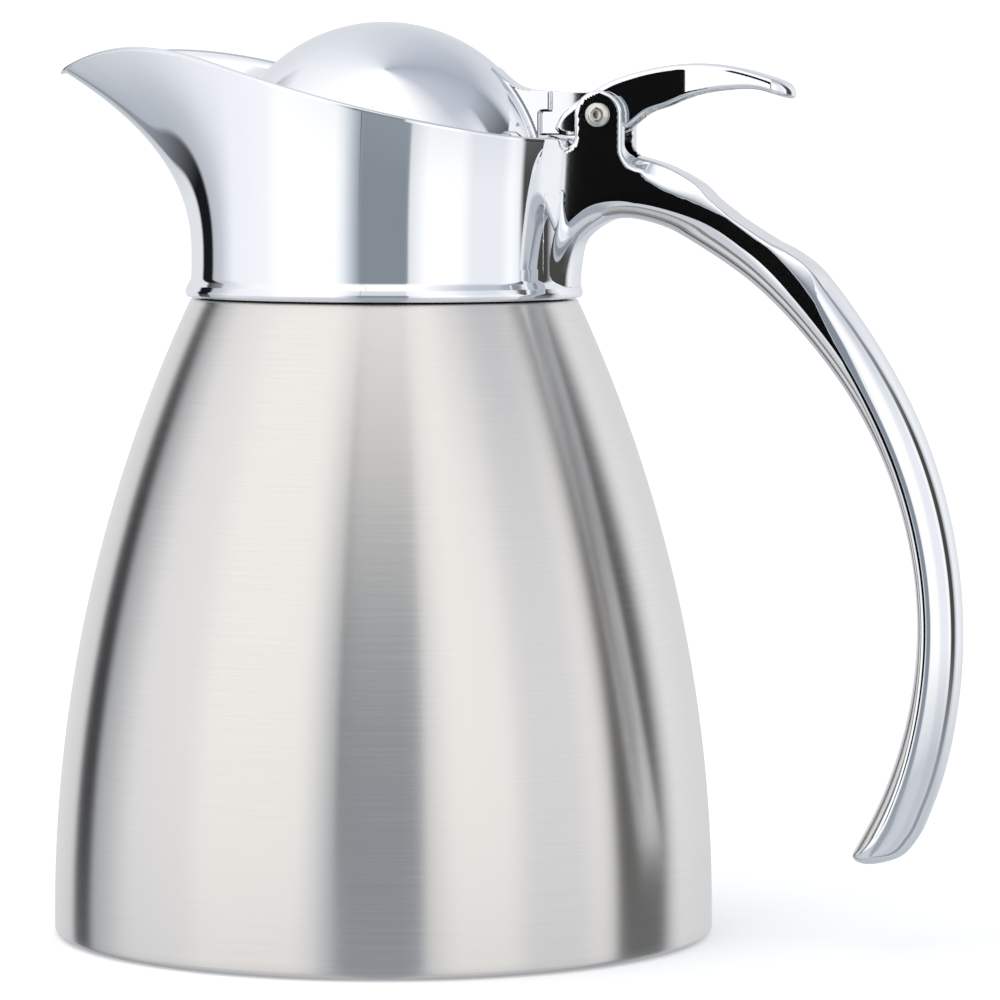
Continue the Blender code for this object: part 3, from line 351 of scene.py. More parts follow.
def node(tree, kind, settings, values, output=0):
    """One shader node: its settings first, then the numbers or links of its sockets. Gives its output."""
    made = tree.nodes.new(kind)
    for name, value in settings.items():
        if name == "stops":
            fill_ramp(made.color_ramp, value)
        else:
            setattr(made, name, value)
    for name, value in values.items():
        if isinstance(value, Link):
            tree.links.new(value.socket, made.inputs[name])
        else:
            made.inputs[name].default_value = value
    return Link(tree, made.outputs[output])


def fill_ramp(ramp, stops):
    while len(ramp.elements) < len(stops):
        ramp.elements.new(0.5)
    for element, (at, colour) in zip(ramp.elements, stops):
        element.position = at
        element.color = (*colour, 1.0)


def finish(name, **constants):
    """A new material with a Principled shader; gives the material, its tree and the shader."""
    made = bpy.data.materials.new(name)
    made.use_nodes = True
    shader = made.node_tree.nodes["Principled BSDF"]
    for socket, value in constants.items():
        shader.inputs[socket.replace("_", " ")].default_value = value
    return made, made.node_tree, shader


def place_in(tree):
    """The surface point in metres, in the frame."""
    return node(tree, "ShaderNodeTexCoord", {}, {}, output="Object")


def noise(tree, point, scale, detail, roughness=0.5):
    return node(
        tree,
        "ShaderNodeTexNoise",
        {},
        {"Vector": point, "Scale": scale, "Detail": detail, "Roughness": roughness},
        output="Fac",
    )


def mixed(tree, factor, low, high):
    """A colour between two others; each is a link or three numbers."""
    low, high = (each if isinstance(each, Link) else (*each, 1.0) for each in (low, high))
    return node(tree, "ShaderNodeMix", {"data_type": "RGBA"}, {"Factor": factor, 6: low, 7: high}, output=2)


def parts_of(tree, vector):
    split = tree.nodes.new("ShaderNodeSeparateXYZ")
    tree.links.new(vector.socket, split.inputs[0])
    return [Link(tree, socket) for socket in split.outputs]


def chrome():
    """Bright plated steel, with the faint haze that a cloth leaves."""
    made, tree, shader = finish("polished_chrome", Metallic=1.0, IOR=1.45)
    haze = noise(tree, place_in(tree), 60.0, 3.0)
    tree.links.new((0.03 + 0.02 * haze).socket, shader.inputs["Roughness"])
    colour = mixed(tree, haze, (0.83, 0.84, 0.86), (0.86, 0.87, 0.89))
    tree.links.new(colour.socket, shader.inputs["Base Color"])
    return made


def brushed_steel():
    """Satin steel, brushed round the bottle: short fine scratches and a soft sheen across them."""
    made, tree, shader = finish("brushed_steel", Metallic=1.0, Anisotropic=0.93, Anisotropic_Rotation=0.25)
    scratch = round_scratches(tree)
    colour = mixed(tree, scratch, (0.68, 0.655, 0.63), (0.81, 0.78, 0.75))
    tree.links.new(colour.socket, shader.inputs["Base Color"])
    tree.links.new((0.2 + 0.1 * scratch).socket, shader.inputs["Roughness"])
    return made


def round_scratches(tree):
    """Noise drawn out into lines round the Z axis."""
    x, y, z = parts_of(tree, place_in(tree))
    turn = x.math("ARCTAN2", y, x)
    stretched = node(tree, "ShaderNodeCombineXYZ", {}, {"X": turn * 2.0, "Y": 0.0, "Z": z * 5000.0})
    return noise(tree, stretched, 1.0, 4.0, 0.7)


def plain(name, colour, roughness, metallic):
    """A plain finish with a fine speck in its colour and its shine."""
    made, tree, shader = finish(name, Metallic=metallic)
    speck = noise(tree, place_in(tree), 400.0, 4.0)
    shade = mixed(tree, speck, [0.85 * c for c in colour], colour)
    tree.links.new(shade.socket, shader.inputs["Base Color"])
    tree.links.new((roughness * 0.85 + roughness * 0.3 * speck).socket, shader.inputs["Roughness"])
    return made


# ---------------------------------------------------------------- bottle


def side_radius(z):
    """The body's outer radius: one arc from the upright foot to the collar."""
    drop = BASE_RADIUS - COLLAR_RADIUS
    rise = SHOULDER_Z - UPRIGHT_Z
    sweep = (rise**2 + drop**2) / (2 * drop)
    return BASE_RADIUS - sweep + math.sqrt(sweep**2 - max(0.0, z - UPRIGHT_Z) ** 2)


def side_line(low, high, count, inset):
    heights = [low + (high - low) * k / count for k in range(count + 1)]
    return [(side_radius(z) - inset, z, 0) for z in heights]


def make_body(steel):
    top = SHOULDER_Z - 1.6
    foot = BASE_RADIUS - COVER_RIM
    profile = [
        (foot, 0.0, 0.15),
        (BASE_RADIUS, 0.0, 1.2),
        *side_line(2.4, top, 60, 0.0),
        (side_radius(SHOULDER_Z), SHOULDER_Z, 0.6),
        (NECK_RADIUS, SHOULDER_Z, 0.5),
        (NECK_RADIUS, NECK_TOP_Z, 0.1),
        (NECK_RADIUS - SHELL_WALL, NECK_TOP_Z, 0.1),
        (NECK_RADIUS - SHELL_WALL, SHOULDER_Z - SHELL_WALL, 0),
        *reversed(side_line(4.6, top, 20, SHELL_WALL)),
        (BASE_RADIUS - 2.0, SHELL_WALL, 0),
        (foot, SHELL_WALL, 0),
    ]
    show("brushed_body", turned(rounded(profile), 256), steel, "pot", "brushed_body", "outer_shell")


# ---------------------------------------------------------------- collar


def rim_height(x):
    share = (x + SPOUT_REACH) / (SPOUT_REACH + COLLAR_RADIUS + RIM_FLARE)
    return SHOULDER_Z + RIM_LINE(share)


RIM_LINE = flowing(RIM_CURVE)


def rim_plan(inset):
    """The rim from above as x, y and the angle on the waist that each place grows from: two circles, the
    round collar's and the spout tip's, and the tangents that join them."""
    big = COLLAR_RADIUS + RIM_FLARE
    small = SPOUT_TIP_RADIUS
    apart = SPOUT_REACH - small
    tangent = math.pi / 2 + math.asin((big - small) / apart)
    half = []
    for share in np.linspace(0, 1, 71)[:-1]:
        angle = tangent * share
        half.append(((big - inset) * math.cos(angle), (big - inset) * math.sin(angle), angle))
    start = Vector(((big - inset) * math.cos(tangent), (big - inset) * math.sin(tangent)))
    end = Vector(((small - inset) * math.cos(tangent) - apart, (small - inset) * math.sin(tangent)))
    for share in np.linspace(0, 1, 31)[:-1]:
        point = start.lerp(end, share)
        half.append((point.x, point.y, tangent + (math.pi - tangent) * FRONT_SHARE * share))
    for share in np.linspace(0, 1, 17):
        angle = tangent + (math.pi - tangent) * share
        below = tangent + (math.pi - tangent) * (FRONT_SHARE + (1 - FRONT_SHARE) * share)
        half.append(((small - inset) * math.cos(angle) - apart, (small - inset) * math.sin(angle), below))
    mirrored = [(x, -y, -angle) for x, y, angle in reversed(half[1:-1])]
    return np.array(half + mirrored)


def softened(ring):
    """A closed ring of points, evened out so that its bends run into each other."""
    for _ in range(12):
        ring = ring / 2 + (np.roll(ring, 1, axis=0) + np.roll(ring, -1, axis=0)) / 4
    return ring


def rim_heights():
    return rim_height(rim_plan(0.0)[:, 0])


def flared_ring(inset, share, z):
    """A ring in the collar's wall: share 0 is the top of the straight waist, share 1 is the rim."""
    x, y, angle = rim_plan(inset).T
    waist = COLLAR_RADIUS - inset
    turn = share**SPOUT_FLARE_POWER
    across = waist * np.cos(angle) * (1 - turn) + x * turn
    along = waist * np.sin(angle) * (1 - turn) + y * turn
    return softened(np.stack([across, along, z + 0 * x], axis=1))


def collar_ring(inset, share, drop=0.0):
    """A ring that rises and falls with the rim."""
    return flared_ring(inset, share, WAIST_Z + (rim_heights() - WAIST_Z) * share - drop)


def level_ring(inset, z):
    """A ring in the collar's wall at one height."""
    return flared_ring(inset, np.clip((z - WAIST_Z) / (rim_heights() - WAIST_Z), 0, 1), z)


def round_ring(radius, z):
    angle = rim_plan(0.0)[:, 2]
    return softened(np.stack([radius * np.cos(angle), radius * np.sin(angle), 0 * angle + z], axis=1))


def make_collar(plated):
    foot = COLLAR_LOW.z
    bore = COLLAR_RADIUS - COLLAR_WALL
    lip = COLLAR_WALL / 2
    bead = [
        (bore, foot, 0.1),
        (COLLAR_RADIUS + 0.9, foot, 0.45),
        (COLLAR_RADIUS + 1.05, foot + 1.0, 0.9),
        (COLLAR_RADIUS + 0.75, foot + 1.9, 0.35),
        (COLLAR_RADIUS + 0.1, foot + 3.0, 1.6),
        (COLLAR_RADIUS, foot + 5.2, 3.0),
        (COLLAR_RADIUS, WAIST_Z, 0),
        (bore, WAIST_Z, 0),
    ]
    ledge = [
        (bore, LEDGE_HIGH_Z),
        (LEDGE_BORE, LEDGE_HIGH_Z),
        (LEDGE_BORE, LEDGE_LOW_Z),
        (bore, LEDGE_LOW_Z),
    ]
    over_the_lip = [math.pi * k / 8 for k in range(9)]
    rings = [round_ring(r, z) for r, z in rounded(bead, 8)[:-2]]
    rings += [collar_ring(0.0, share) for share in np.linspace(0, 1, 61)[:-1] ** 0.9]
    rings += [collar_ring(lip * (1 - math.cos(a)), 1.0, lip * (1 - math.sin(a))) for a in over_the_lip]
    rings += [collar_ring(COLLAR_WALL, share) for share in np.linspace(0.97, 0, 40)]
    rings += [round_ring(r, z) for r, z in ledge]
    show("chrome_collar", lofted(rings), plated, "pot", "chrome", "collar")


# ---------------------------------------------------------------- lid


def dome_arc(radius, count):
    """A quarter circle from the dome's top to its straight skirt."""
    angles = np.radians(np.linspace(90, 0, count))
    return [(radius * math.cos(a), DOME_Z + radius * math.sin(a), 0) for a in angles]


def make_dome(plated):
    inside = DOME_RADIUS - DOME_WALL
    profile = [
        (0.0, DOME_Z + DOME_RADIUS, 0),
        *dome_arc(DOME_RADIUS, 65)[1:],
        (DOME_RADIUS, LID_FOOT_Z, 0.25),
        (inside, LID_FOOT_Z, 0.1),
        *reversed(dome_arc(inside, 33)[1:]),
        (0.0, DOME_Z + inside, 0),
    ]
    show("lid_dome_shell", turned(rounded(profile), 256), plated, "lid", "chrome", "lid_dome")


# ---------------------------------------------------------------- handle
# The handle follows an arc about ARC_X and ARC_Z. At an angle up that arc, in degrees, OUTER_LINE, INNER_LINE
# and RAIL_LINE give how far out a face is, and the others give a half width, an edge's radius or a crown.

ARC_X, ARC_Z, ARC_RADIUS = 13.5, 54.0, 86.4
OUTER_LINE = flowing(
    (
        (-40, 66.0),
        (-31, 78.6),
        (-29.2, 81.7),
        (-26.6, 85.6),
        (-24, 86.8),
        (-20, 87.1),
        (-8, 86.9),
        (4, 86.6),
        (20, 86.4),
        (38, 86.45),
        (42, 86.7),
        (43.9, 86.75),
        (45.3, 86.4),
        (47.4, 85.6),
        (50.1, 84.7),
        (53.1, 84.2),
        (55.5, 84.1),
        (58.2, 84.5),
        (60.6, 85.5),
        (62.6, 85.7),
        (64.9, 85.7),
        (69.5, 84.9),
        (80, 82.5),
    )
)
INNER_LINE = flowing(
    (
        (-40, 79.0),
        (-29.3, 78.3),
        (-20, 78.8),
        (-8, 79.3),
        (2, 79.5),
        (15, 79.2),
        (28, 78.4),
        (38, 77.6),
        (47.8, 77.1),
        (56.4, 76.4),
        (62, 76.2),
        (68, 76.0),
        (80, 75.8),
    )
)
HALF_WIDTH = flowing(
    (
        (-40, 7.7),
        (36, 7.7),
        (44, 7.2),
        (52, 6.3),
        (58, 6.1),
        (64, 6.4),
        (67, 6.5),
        (90, 6.5),
    )
)
EDGE_ABOVE = flowing(((-40, 3.1), (34, 3.0), (44, 1.6), (54, 0.8), (70, 0.7), (90, 0.7)))
EDGE_BELOW = flowing(
    (
        (-40, 3.2),
        (36, 3.3),
        (46, 3.8),
        (56, 4.6),
        (64, 4.8),
        (70, 4.0),
        (76, 2.5),
        (90, 2.5),
    )
)
CROWN = flowing(
    (
        (-40, 2.4),
        (34, 2.4),
        (42, 1.6),
        (46, 0.2),
        (56, 0.0),
        (60, 0.3),
        (70, 0.4),
        (80, 0.4),
    )
)
RAIL_LINE = flowing(
    (
        (50, 84.8),
        (55.5, 84.1),
        (57, 83.6),
        (59.1, 83.2),
        (64.2, 82.5),
        (66.2, 82.8),
        (70, 82.8),
        (80, 82.5),
    )
)
CREST_HALF = flowing(((50, 5.9), (57, 5.7), (60, 5.0), (64, 4.0), (68, 3.4), (72, 3.2), (80, 3.2)))
GRIP_BELLY = 0.6
TIP_ANGLE = -29.8
NECK_FLOOR_Z, NECK_END = 130.4, 46.0
EAR_FOOT_Z = 124.0
ROOT_FOOT_Z, ROOT_HALF = 110.9, 12.0
ROOT_END = 40.0
BRAZE_HIGH_Z = 127.0
BRAZE_DEPTH = 0.9
ARCH_LENGTH, ARCH_HEIGHT = 13.6, 11.8


def collar_skin(points):
    """Distance outside the collar's round back."""
    x, y, z = points.T
    share = np.clip((z - WAIST_Z) / (rim_height(COLLAR_RADIUS) - WAIST_Z), 0, 1.05)
    return np.hypot(x, y) - COLLAR_RADIUS - RIM_FLARE * share**SPOUT_FLARE_POWER


def top_field(reach, angle, across, half, outward):
    """Under the handle's crowned top and its two flanks, which fall from the crest to the rails."""
    top = OUTER_LINE(angle)
    rail = np.minimum(RAIL_LINE(angle), top)
    fall = np.clip((half - across) / np.maximum(half - CREST_HALF(angle), 0.3), -0.5, 3)
    return meet(reach - top + CROWN(angle) * outward, reach - rail - (top - rail) * fall, radius=0.35)


def ear_field(x, z):
    out = x - HINGE.x
    ear = np.where(z > HINGE.z, np.hypot(out, z - HINGE.z), np.abs(out)) - EAR_RADIUS
    return np.maximum(ear, EAR_FOOT_Z - z)


def arch_field(x, z):
    """The root above the arch: a quarter ellipse from the collar up to the bar's underside."""
    end = COLLAR_RADIUS - 1.0 + ARCH_LENGTH
    over = np.where(x < end, (x - end) / ARCH_LENGTH, 0.0)
    rise = (z - SHOULDER_Z - 2.8) / ARCH_HEIGHT
    return (1 - np.hypot(over, np.maximum(rise, 0.0))) * ARCH_HEIGHT


def handle_field(points):
    x, y, z = points.T
    across = np.abs(y)
    reach = np.hypot(x - ARC_X, z - ARC_Z)
    angle = np.degrees(np.arctan2(z - ARC_Z, x - ARC_X))
    half = HALF_WIDTH(angle)
    outward = np.minimum(across / half, 1.1) ** 2

    above = top_field(reach, angle, across, half, outward)
    above = join(above, np.maximum(z - NECK_FLOOR_Z, x - NECK_END), radius=1.5)
    above = join(above, ear_field(x, z), radius=2.6)
    below = join(INNER_LINE(angle) + GRIP_BELLY * outward - reach, arch_field(x, z), radius=3.0)
    solid = meet(meet(below, across - half, EDGE_BELOW(angle)), above, EDGE_ABOVE(angle))
    solid = meet(solid, np.radians(TIP_ANGLE - angle) * ARC_RADIUS, radius=2.4)
    fork_gap = np.maximum(across - FORK_HALF_GAP, x - HINGE.x - FORK_GAP_END)
    solid = meet(solid, -np.maximum(fork_gap, FORK_FLOOR_Z - z), radius=0.3)

    collar = collar_skin(points)
    fillet = 4.0 - 3.6 * eased(114.0, 126.0, z)
    solid = join(solid, np.maximum(collar, z - BRAZE_HIGH_Z), fillet) + 0.04
    solid = meet(solid, -(collar + BRAZE_DEPTH))
    root_foot = np.where(x < ROOT_END, ROOT_FOOT_Z - z, -z)
    solid = meet(solid, np.maximum(across - ROOT_HALF, root_foot))
    bore = np.hypot(x - HINGE.x, z - HINGE.z) - PIN_RADIUS - PIN_CLEARANCE
    return meet(solid, -bore, radius=0.15)


def make_handle(plated):
    def place(grid):
        angle = np.radians(grid[:, 0])
        across, up = ARC_X + grid[:, 1] * np.cos(angle), ARC_Z + grid[:, 1] * np.sin(angle)
        return np.stack([across, grid[:, 2], up], axis=1)

    pitch = 0.34
    axes = (steps(-31.5, 86.0, pitch * 0.75), steps(57.0, 95.0, pitch), steps(-12.5, 12.5, pitch))
    show("handle_casting", carved(handle_field, axes, place), plated, "pot", "chrome", "handle")


# ---------------------------------------------------------------- hinge and lever
# The lever's lines give a height above the hinge axis, or a half width, at a place out from it

LEVER_TOP = flowing(
    (
        (-8.5, -0.8),
        (-5.5, 1.7),
        (-2.5, 3.7),
        (1.0, 5.7),
        (4.7, 7.0),
        (10.7, 8.3),
        (16.1, 8.7),
        (21.3, 8.3),
        (27.3, 6.9),
        (31.1, 5.5),
        (34.0, 3.6),
        (36.0, 2.0),
    )
)
LEVER_FOOT = flowing(
    (
        (-9.0, -3.5),
        (-4.0, -3.6),
        (1.0, -3.6),
        (3.8, -2.5),
        (7.4, 0.2),
        (11.2, 1.6),
        (14.3, 2.9),
        (21.3, 4.2),
        (27.3, 4.1),
        (31.3, 2.9),
        (36.0, 1.6),
    )
)
LEVER_HALF = flowing(
    (
        (-9, 3.2),
        (12, 3.2),
        (14, 3.3),
        (18, 3.75),
        (22, 4.25),
        (26, 4.8),
        (29, 5.25),
        (36, 6.2),
    )
)
LEVER_NOSE, LEVER_TIP = -8.5, 32.5
LEVER_TIP_RADIUS = 6.0
LEVER_CROWN = 0.25
LEVER_CHEEK, LEVER_ROOF = 0.8, 1.3
LEVER_ROOF_START, LEVER_HOLLOW_END = -2.4, 25.0
SCREW_BOSS_RADIUS = 1.9


def lever_field(points):
    x, y, z = points.T
    out, up, across = x - HINGE.x, z - HINGE.z, np.abs(y)
    half, top, foot = LEVER_HALF(out), LEVER_TOP(out), LEVER_FOOT(out)
    slope = np.hypot(1, (LEVER_TOP(out + 0.2) - LEVER_TOP(out - 0.2)) / 0.4)
    over = (up - top + LEVER_CROWN * (across / half) ** 2) / slope
    tip_middle = LEVER_TIP - LEVER_TIP_RADIUS
    tip = np.where(out > tip_middle, np.hypot(out - tip_middle, across), 0.0) - LEVER_TIP_RADIUS
    solid = meet(meet(over, foot - up, radius=0.7), LEVER_NOSE - out, radius=2.2)
    solid = meet(solid, np.maximum(across - half, tip), radius=0.9)

    roof = np.where(out < LEVER_ROOF_START, 9.0, top - LEVER_ROOF)
    hollow = meet(up - roof, out - LEVER_HOLLOW_END, radius=1.0)
    solid = meet(solid, -meet(hollow, across - half + LEVER_CHEEK, radius=0.6), radius=0.2)
    from_screw = np.hypot(out - SCREW_OUT, y)
    boss = np.maximum(from_screw - SCREW_BOSS_RADIUS, TAB_TOP + GAP - up)
    solid = join(solid, np.maximum(boss, up - top + 0.6), radius=0.3)
    solid = meet(solid, -np.maximum(from_screw - SCREW_HOLE_RADIUS, up - top + LEVER_ROOF))
    return meet(solid, PIN_RADIUS + PIN_CLEARANCE - np.hypot(out, up))


# The tab's top where it rises into the dome, as z at x
DOME_FLARE_LINE = flowing(
    (
        (18.0, 148.6),
        (19.5, 147.9),
        (21.5, 146.3),
        (23.5, 145.0),
        (26.0, 144.35),
        (29.0, 144.1),
        (50.0, 144.1),
    )
)
FLARE_END = -2.8
WEB_HALF = 3.2
WEB_END, WEB_FOOT_END, WEB_FOOT = -8.9, -10.7, -4.4
KNUCKLE_TOP = 2.4
TAB_BLOCK_X, TAB_BLOCK_HALF = 19.5, 6.0
TAB_BLOCK_LOW_Z, TAB_BLOCK_HIGH_Z = 132.0, 150.0


def tab_field(points):
    """The tab, the web below it and the knuckle round the pin, flaring out of the dome's back."""
    x, y, z = points.T
    out, up, across = x - HINGE.x, z - HINGE.z, np.abs(y)
    tab_top = np.where(out > FLARE_END, HINGE.z + TAB_TOP, DOME_FLARE_LINE(x))
    tab = meet(z - tab_top, TAB_FOOT - up, radius=0.25)
    tab = meet(tab, out - TAB_END, radius=0.4)
    knuckle = np.where(out > 0, np.hypot(out, up) - KNUCKLE_RADIUS, -KNUCKLE_RADIUS - up)
    knuckle = np.maximum(knuckle, np.maximum(up - KNUCKLE_TOP, out - KNUCKLE_RADIUS))
    narrow = meet(np.minimum(tab, knuckle), across - TAB_HALF, radius=0.2)
    web = meet(meet(out - WEB_FOOT_END, WEB_FOOT - up, radius=0.4), up - KNUCKLE_TOP)
    wide = join(meet(tab, out - WEB_END, radius=0.3), web, radius=0.5)
    solid = np.minimum(narrow, meet(wide, across - WEB_HALF, radius=0.35))

    dome = np.hypot(np.hypot(x, y), np.maximum(z - DOME_Z, 0)) - DOME_RADIUS
    block = np.maximum(across - TAB_BLOCK_HALF, TAB_BLOCK_LOW_Z - z)
    block = np.maximum(block, np.maximum(TAB_BLOCK_X - x, z - TAB_BLOCK_HIGH_Z))
    solid = join(solid, np.maximum(dome, block), radius=0.9) + 0.03
    solid = np.maximum(np.maximum(solid, block), -(dome + DOME_WALL / 2))
    solid = meet(solid, SLEEVE_RADIUS + PIN_CLEARANCE - np.hypot(out, up), radius=0.1)
    return np.maximum(solid, SCREW_HOLE_RADIUS - np.hypot(out - SCREW_OUT, y))


def make_lever(plated):
    pitch = 0.2
    axes = (
        steps(HINGE.x - 9.5, HINGE.x + 35.0, pitch),
        steps(-6.0, 6.0, pitch),
        steps(HINGE.z - 5.0, HINGE.z + 10.0, pitch),
    )
    show("lever_shell", carved(lever_field, axes), plated, "lid", "chrome", "thumb_lever")
    axes = (steps(17.0, HINGE.x + 9.0, pitch), steps(-7.0, 7.0, pitch), steps(130.0, 151.0, pitch))
    show("lid_tab", carved(tab_field, axes), plated, "lid", "chrome", "lid_dome")


def on_pin(across, towards):
    """Stands a turned piece on the hinge axis, at across on Y, its own Z along -Y or +Y."""
    turn = Matrix.Rotation(math.radians(-90 * towards), 4, "X")
    return Matrix.Translation(Vector((HINGE.x, across, HINGE.z)) * MM) @ turn


def make_pin(bright, plastic):
    end = -2 * EAR_FACE - GAP
    pin = [
        (0, end, 0),
        (PIN_RADIUS, end, 0.2),
        (PIN_RADIUS, GAP, 0),
        (PIN_HEAD_RADIUS, GAP, 0.1),
        (PIN_HEAD_RADIUS, 0.8, 0.5),
        (1.3, 1.35, 0.7),
        (0.85, 1.4, 0.12),
        (0.7, 0.75, 0.1),
        (0, 0.75, 0),
    ]
    pin_mesh = turned(rounded(pin), 64, on_pin(-EAR_FACE, -1))
    show("hinge_pin_turned", pin_mesh, bright, "pot", "pin_steel", "hinge_pin")
    nut_bore = PIN_RADIUS + PIN_CLEARANCE
    nut = [
        (nut_bore, 0, 0),
        (PIN_HEAD_RADIUS, 0, 0.1),
        (PIN_HEAD_RADIUS, 0.9, 0.4),
        (PIN_HEAD_RADIUS * 0.6, 1.5, 1.2),
        (0, 1.75, 0),
        (0, 0.9, 0),
        (nut_bore, 0.9, 0),
    ]
    nut_mesh = turned(rounded(nut), 64, on_pin(EAR_FACE + GAP, 1))
    show("hinge_nut_turned", nut_mesh, bright, "pot", "pin_steel", "hinge_nut")
    sleeve = [
        (nut_bore, -TAB_HALF, 0),
        (SLEEVE_RADIUS, -TAB_HALF, 0.1),
        (SLEEVE_RADIUS, TAB_HALF, 0.1),
        (nut_bore, TAB_HALF, 0),
    ]
    sleeve_mesh = turned(rounded(sleeve), 64, on_pin(0, 1))
    show("hinge_sleeve_turned", sleeve_mesh, plastic, "lid", "black_plastic", "hinge_sleeve")


def screw(length, head):
    """A pan-head screw with a round recess: its head stands on 0 and its shank points along -Z."""
    return rounded(
        [
            (0, -length, 0),
            (0.5, -length, 0.1),
            (0.9, 0.9 - length, 0.2),
            (0.9, 0, 0),
            (head, 0, 0.08),
            (head, 0.6, 0.35),
            (head * 0.7, 1.0, 0.4),
            (head * 0.45, 1.0, 0.06),
            (head * 0.45, 0.4, 0.05),
            (0, 0.4, 0),
        ]
    )


def screw_up(x, y, z, length, head):
    """A screw driven up from below, with its head's seat at a point."""
    seat = Matrix.Translation(Vector((x, y, z)) * MM) @ Matrix.Rotation(math.pi, 4, "X")
    return turned(screw(length, head), 48, seat)


def make_screws(bright):
    for name, turn in (("lid_screw_front", 180), ("lid_screw_left", 300), ("lid_screw_right", 60)):
        a = math.radians(turn)
        x, y = LID_SCREW_CIRCLE * math.cos(a), LID_SCREW_CIRCLE * math.sin(a)
        lid_screw = screw_up(x, y, LID_FOOT_Z - GAP, 5.2, 1.7)
        show(f"{name}_turned", lid_screw, bright, "lid", "screw_steel", name)
    lever_screw = screw_up(HINGE.x + SCREW_OUT, 0, HINGE.z + TAB_FOOT - GAP, 4.2, 1.5)
    show("lever_screw_turned", lever_screw, bright, "lid", "screw_steel", "lever_screw")


# ---------------------------------------------------------------- inside


def make_flask(steel):
    inset = SHELL_WALL + VACUUM_GAP
    wide = side_radius(18.0) - inset
    neck = NECK_RADIUS - 2.5
    brim = NECK_TOP_Z + GAP
    profile = [
        (0, 9.0, 0),
        (wide, 9.0, 9.0),
        *side_line(18.2, 99.2, 24, inset),
        (neck, SHOULDER_Z - 1.6, 2.5),
        (neck, brim, 0),
        (NECK_RADIUS, brim, 0.1),
        (NECK_RADIUS, brim + SHELL_WALL, 0.3),
        (MOUTH_RADIUS, brim + SHELL_WALL, 0.4),
        (MOUTH_RADIUS, SHOULDER_Z - 2.4, 2.5),
        *reversed(side_line(18.2, 98.4, 24, inset + SHELL_WALL)),
        (wide - SHELL_WALL, 9.0 + SHELL_WALL, 8.2),
        (0, 9.0 + SHELL_WALL, 0),
    ]
    show("flask_liner", turned(rounded(profile), 192), steel, "pot", "plain_steel", "inner_flask")


def make_base(steel, plastic):
    hole = 1.6
    rim = BASE_RADIUS - 1.1
    pan = [
        (hole, 3.0, 0),
        (rim - 4.4, 3.0, 0.6),
        (rim - 3.6, 1.4, 0.6),
        (rim - 1.2, 1.4, 0),
        (rim - 1.2, 2.2, 0),
        (rim - 2.8, 2.2, 0.6),
        (rim - 3.6, 3.8, 0.6),
        (hole, 3.8, 0),
    ]
    show("base_pan_pressed", turned(rounded(pan)), steel, "pot", "plain_steel", "base_pan")
    edge = BASE_RADIUS - COVER_RIM - GAP
    cover = [
        (0, 0.5, 0),
        (edge - 9, 0.5, 0.4),
        (edge - 8, 0.0, 0.4),
        (edge, 0.0, 0.3),
        (edge, 1.1, 0.1),
        (0, 1.1, 0),
    ]
    show("base_cover_moulded", turned(rounded(cover)), plastic, "pot", "black_plastic", "base_cover")


def make_lid_inside(plastic, rubber):
    edge = DOME_RADIUS - DOME_WALL - GAP
    liner = [
        (0, LID_FOOT_Z, 0),
        (edge, LID_FOOT_Z, 0.5),
        (edge, LID_FOOT_Z + 2.2, 0.2),
        (edge - 2.2, LID_FOOT_Z + 2.2, 0.2),
        (edge - 2.2, LID_FOOT_Z + 1.6, 0.2),
        (0, LID_FOOT_Z + 1.6, 0),
    ]
    show("lid_liner_moulded", turned(rounded(liner)), plastic, "lid", "black_plastic", "lid_liner")
    edge = DOME_RADIUS - GAP
    top = GASKET_HIGH.z
    gasket = [
        (edge - 3.6, top - 0.65, 0.1),
        (edge - 1.2, top - 1.3, 0.5),
        (edge, top - 1.3, 0.5),
        (edge, top, 0.2),
        (edge - 3.6, top, 0.1),
    ]
    show("lid_gasket_ring", turned(rounded(gasket)), rubber, "lid", "silicone", "lid_gasket")


def make_insert(plastic):
    """The ring-shaped funnel between the flask's mouth and the spout, shaped to the collar's inside."""
    low, seat = 121.7, 123.7
    bore = MOUTH_RADIUS - 0.6
    inset = COLLAR_WALL + GAP
    funnel = [
        round_ring(bore, low),
        round_ring(LEDGE_BORE, low),
        level_ring(inset, low + 0.9),
        level_ring(inset, seat + 0.7),
        level_ring(inset + 0.2, seat + 0.9),
        round_ring(DOME_RADIUS + 0.6, seat + 0.05),
        round_ring(DOME_RADIUS, seat),
        round_ring(bore + 0.5, seat),
        round_ring(bore + 0.1, seat - 0.15),
        round_ring(bore, seat - 0.5),
    ]
    show("pour_insert_moulded", lofted(funnel), plastic, "pot", "black_plastic", "pour_insert")


# ---------------------------------------------------------------- studio

# The card stands edge on to the round bottle, so that only the handle's and lever's flat sides see it
CARD_X = 0.0043
CARD_NEAR, CARD_FAR = -0.13, -0.8
CARD_LOW, CARD_HIGH = 0.02, 0.32

CAMERA_PLACE = (0.2316, -0.8643, 0.1375)
CAMERA_ACROSS = (0.97139, 0.2375, 0.00242)
CAMERA_BACK = (0.23674, -0.969, 0.07068)
CAMERA_LENS = 188.24
FLOOR_GLOW = 0.32


def stand(name, bm, material):
    """Puts a piece of the studio in the scene."""
    made = bpy.data.objects.new(name, mesh_of(bm))
    made.data.materials.append(material)
    bpy.context.scene.collection.objects.link(made)
    return made


def make_floor():
    bm = bmesh.new()
    bmesh.ops.create_circle(bm, cap_ends=True, radius=6.0, segments=128)
    pale, _, shader = finish("pale_floor", Base_Color=(0.9, 0.9, 0.9, 1.0), Roughness=0.6)
    shader.inputs["Specular IOR Level"].default_value = 0.0
    shader.inputs["Emission Color"].default_value = (1, 1, 1, 1)
    shader.inputs["Emission Strength"].default_value = FLOOR_GLOW
    floor = stand("floor", bm, pale)
    floor.location.z = -0.0002
    floor.visible_glossy = False


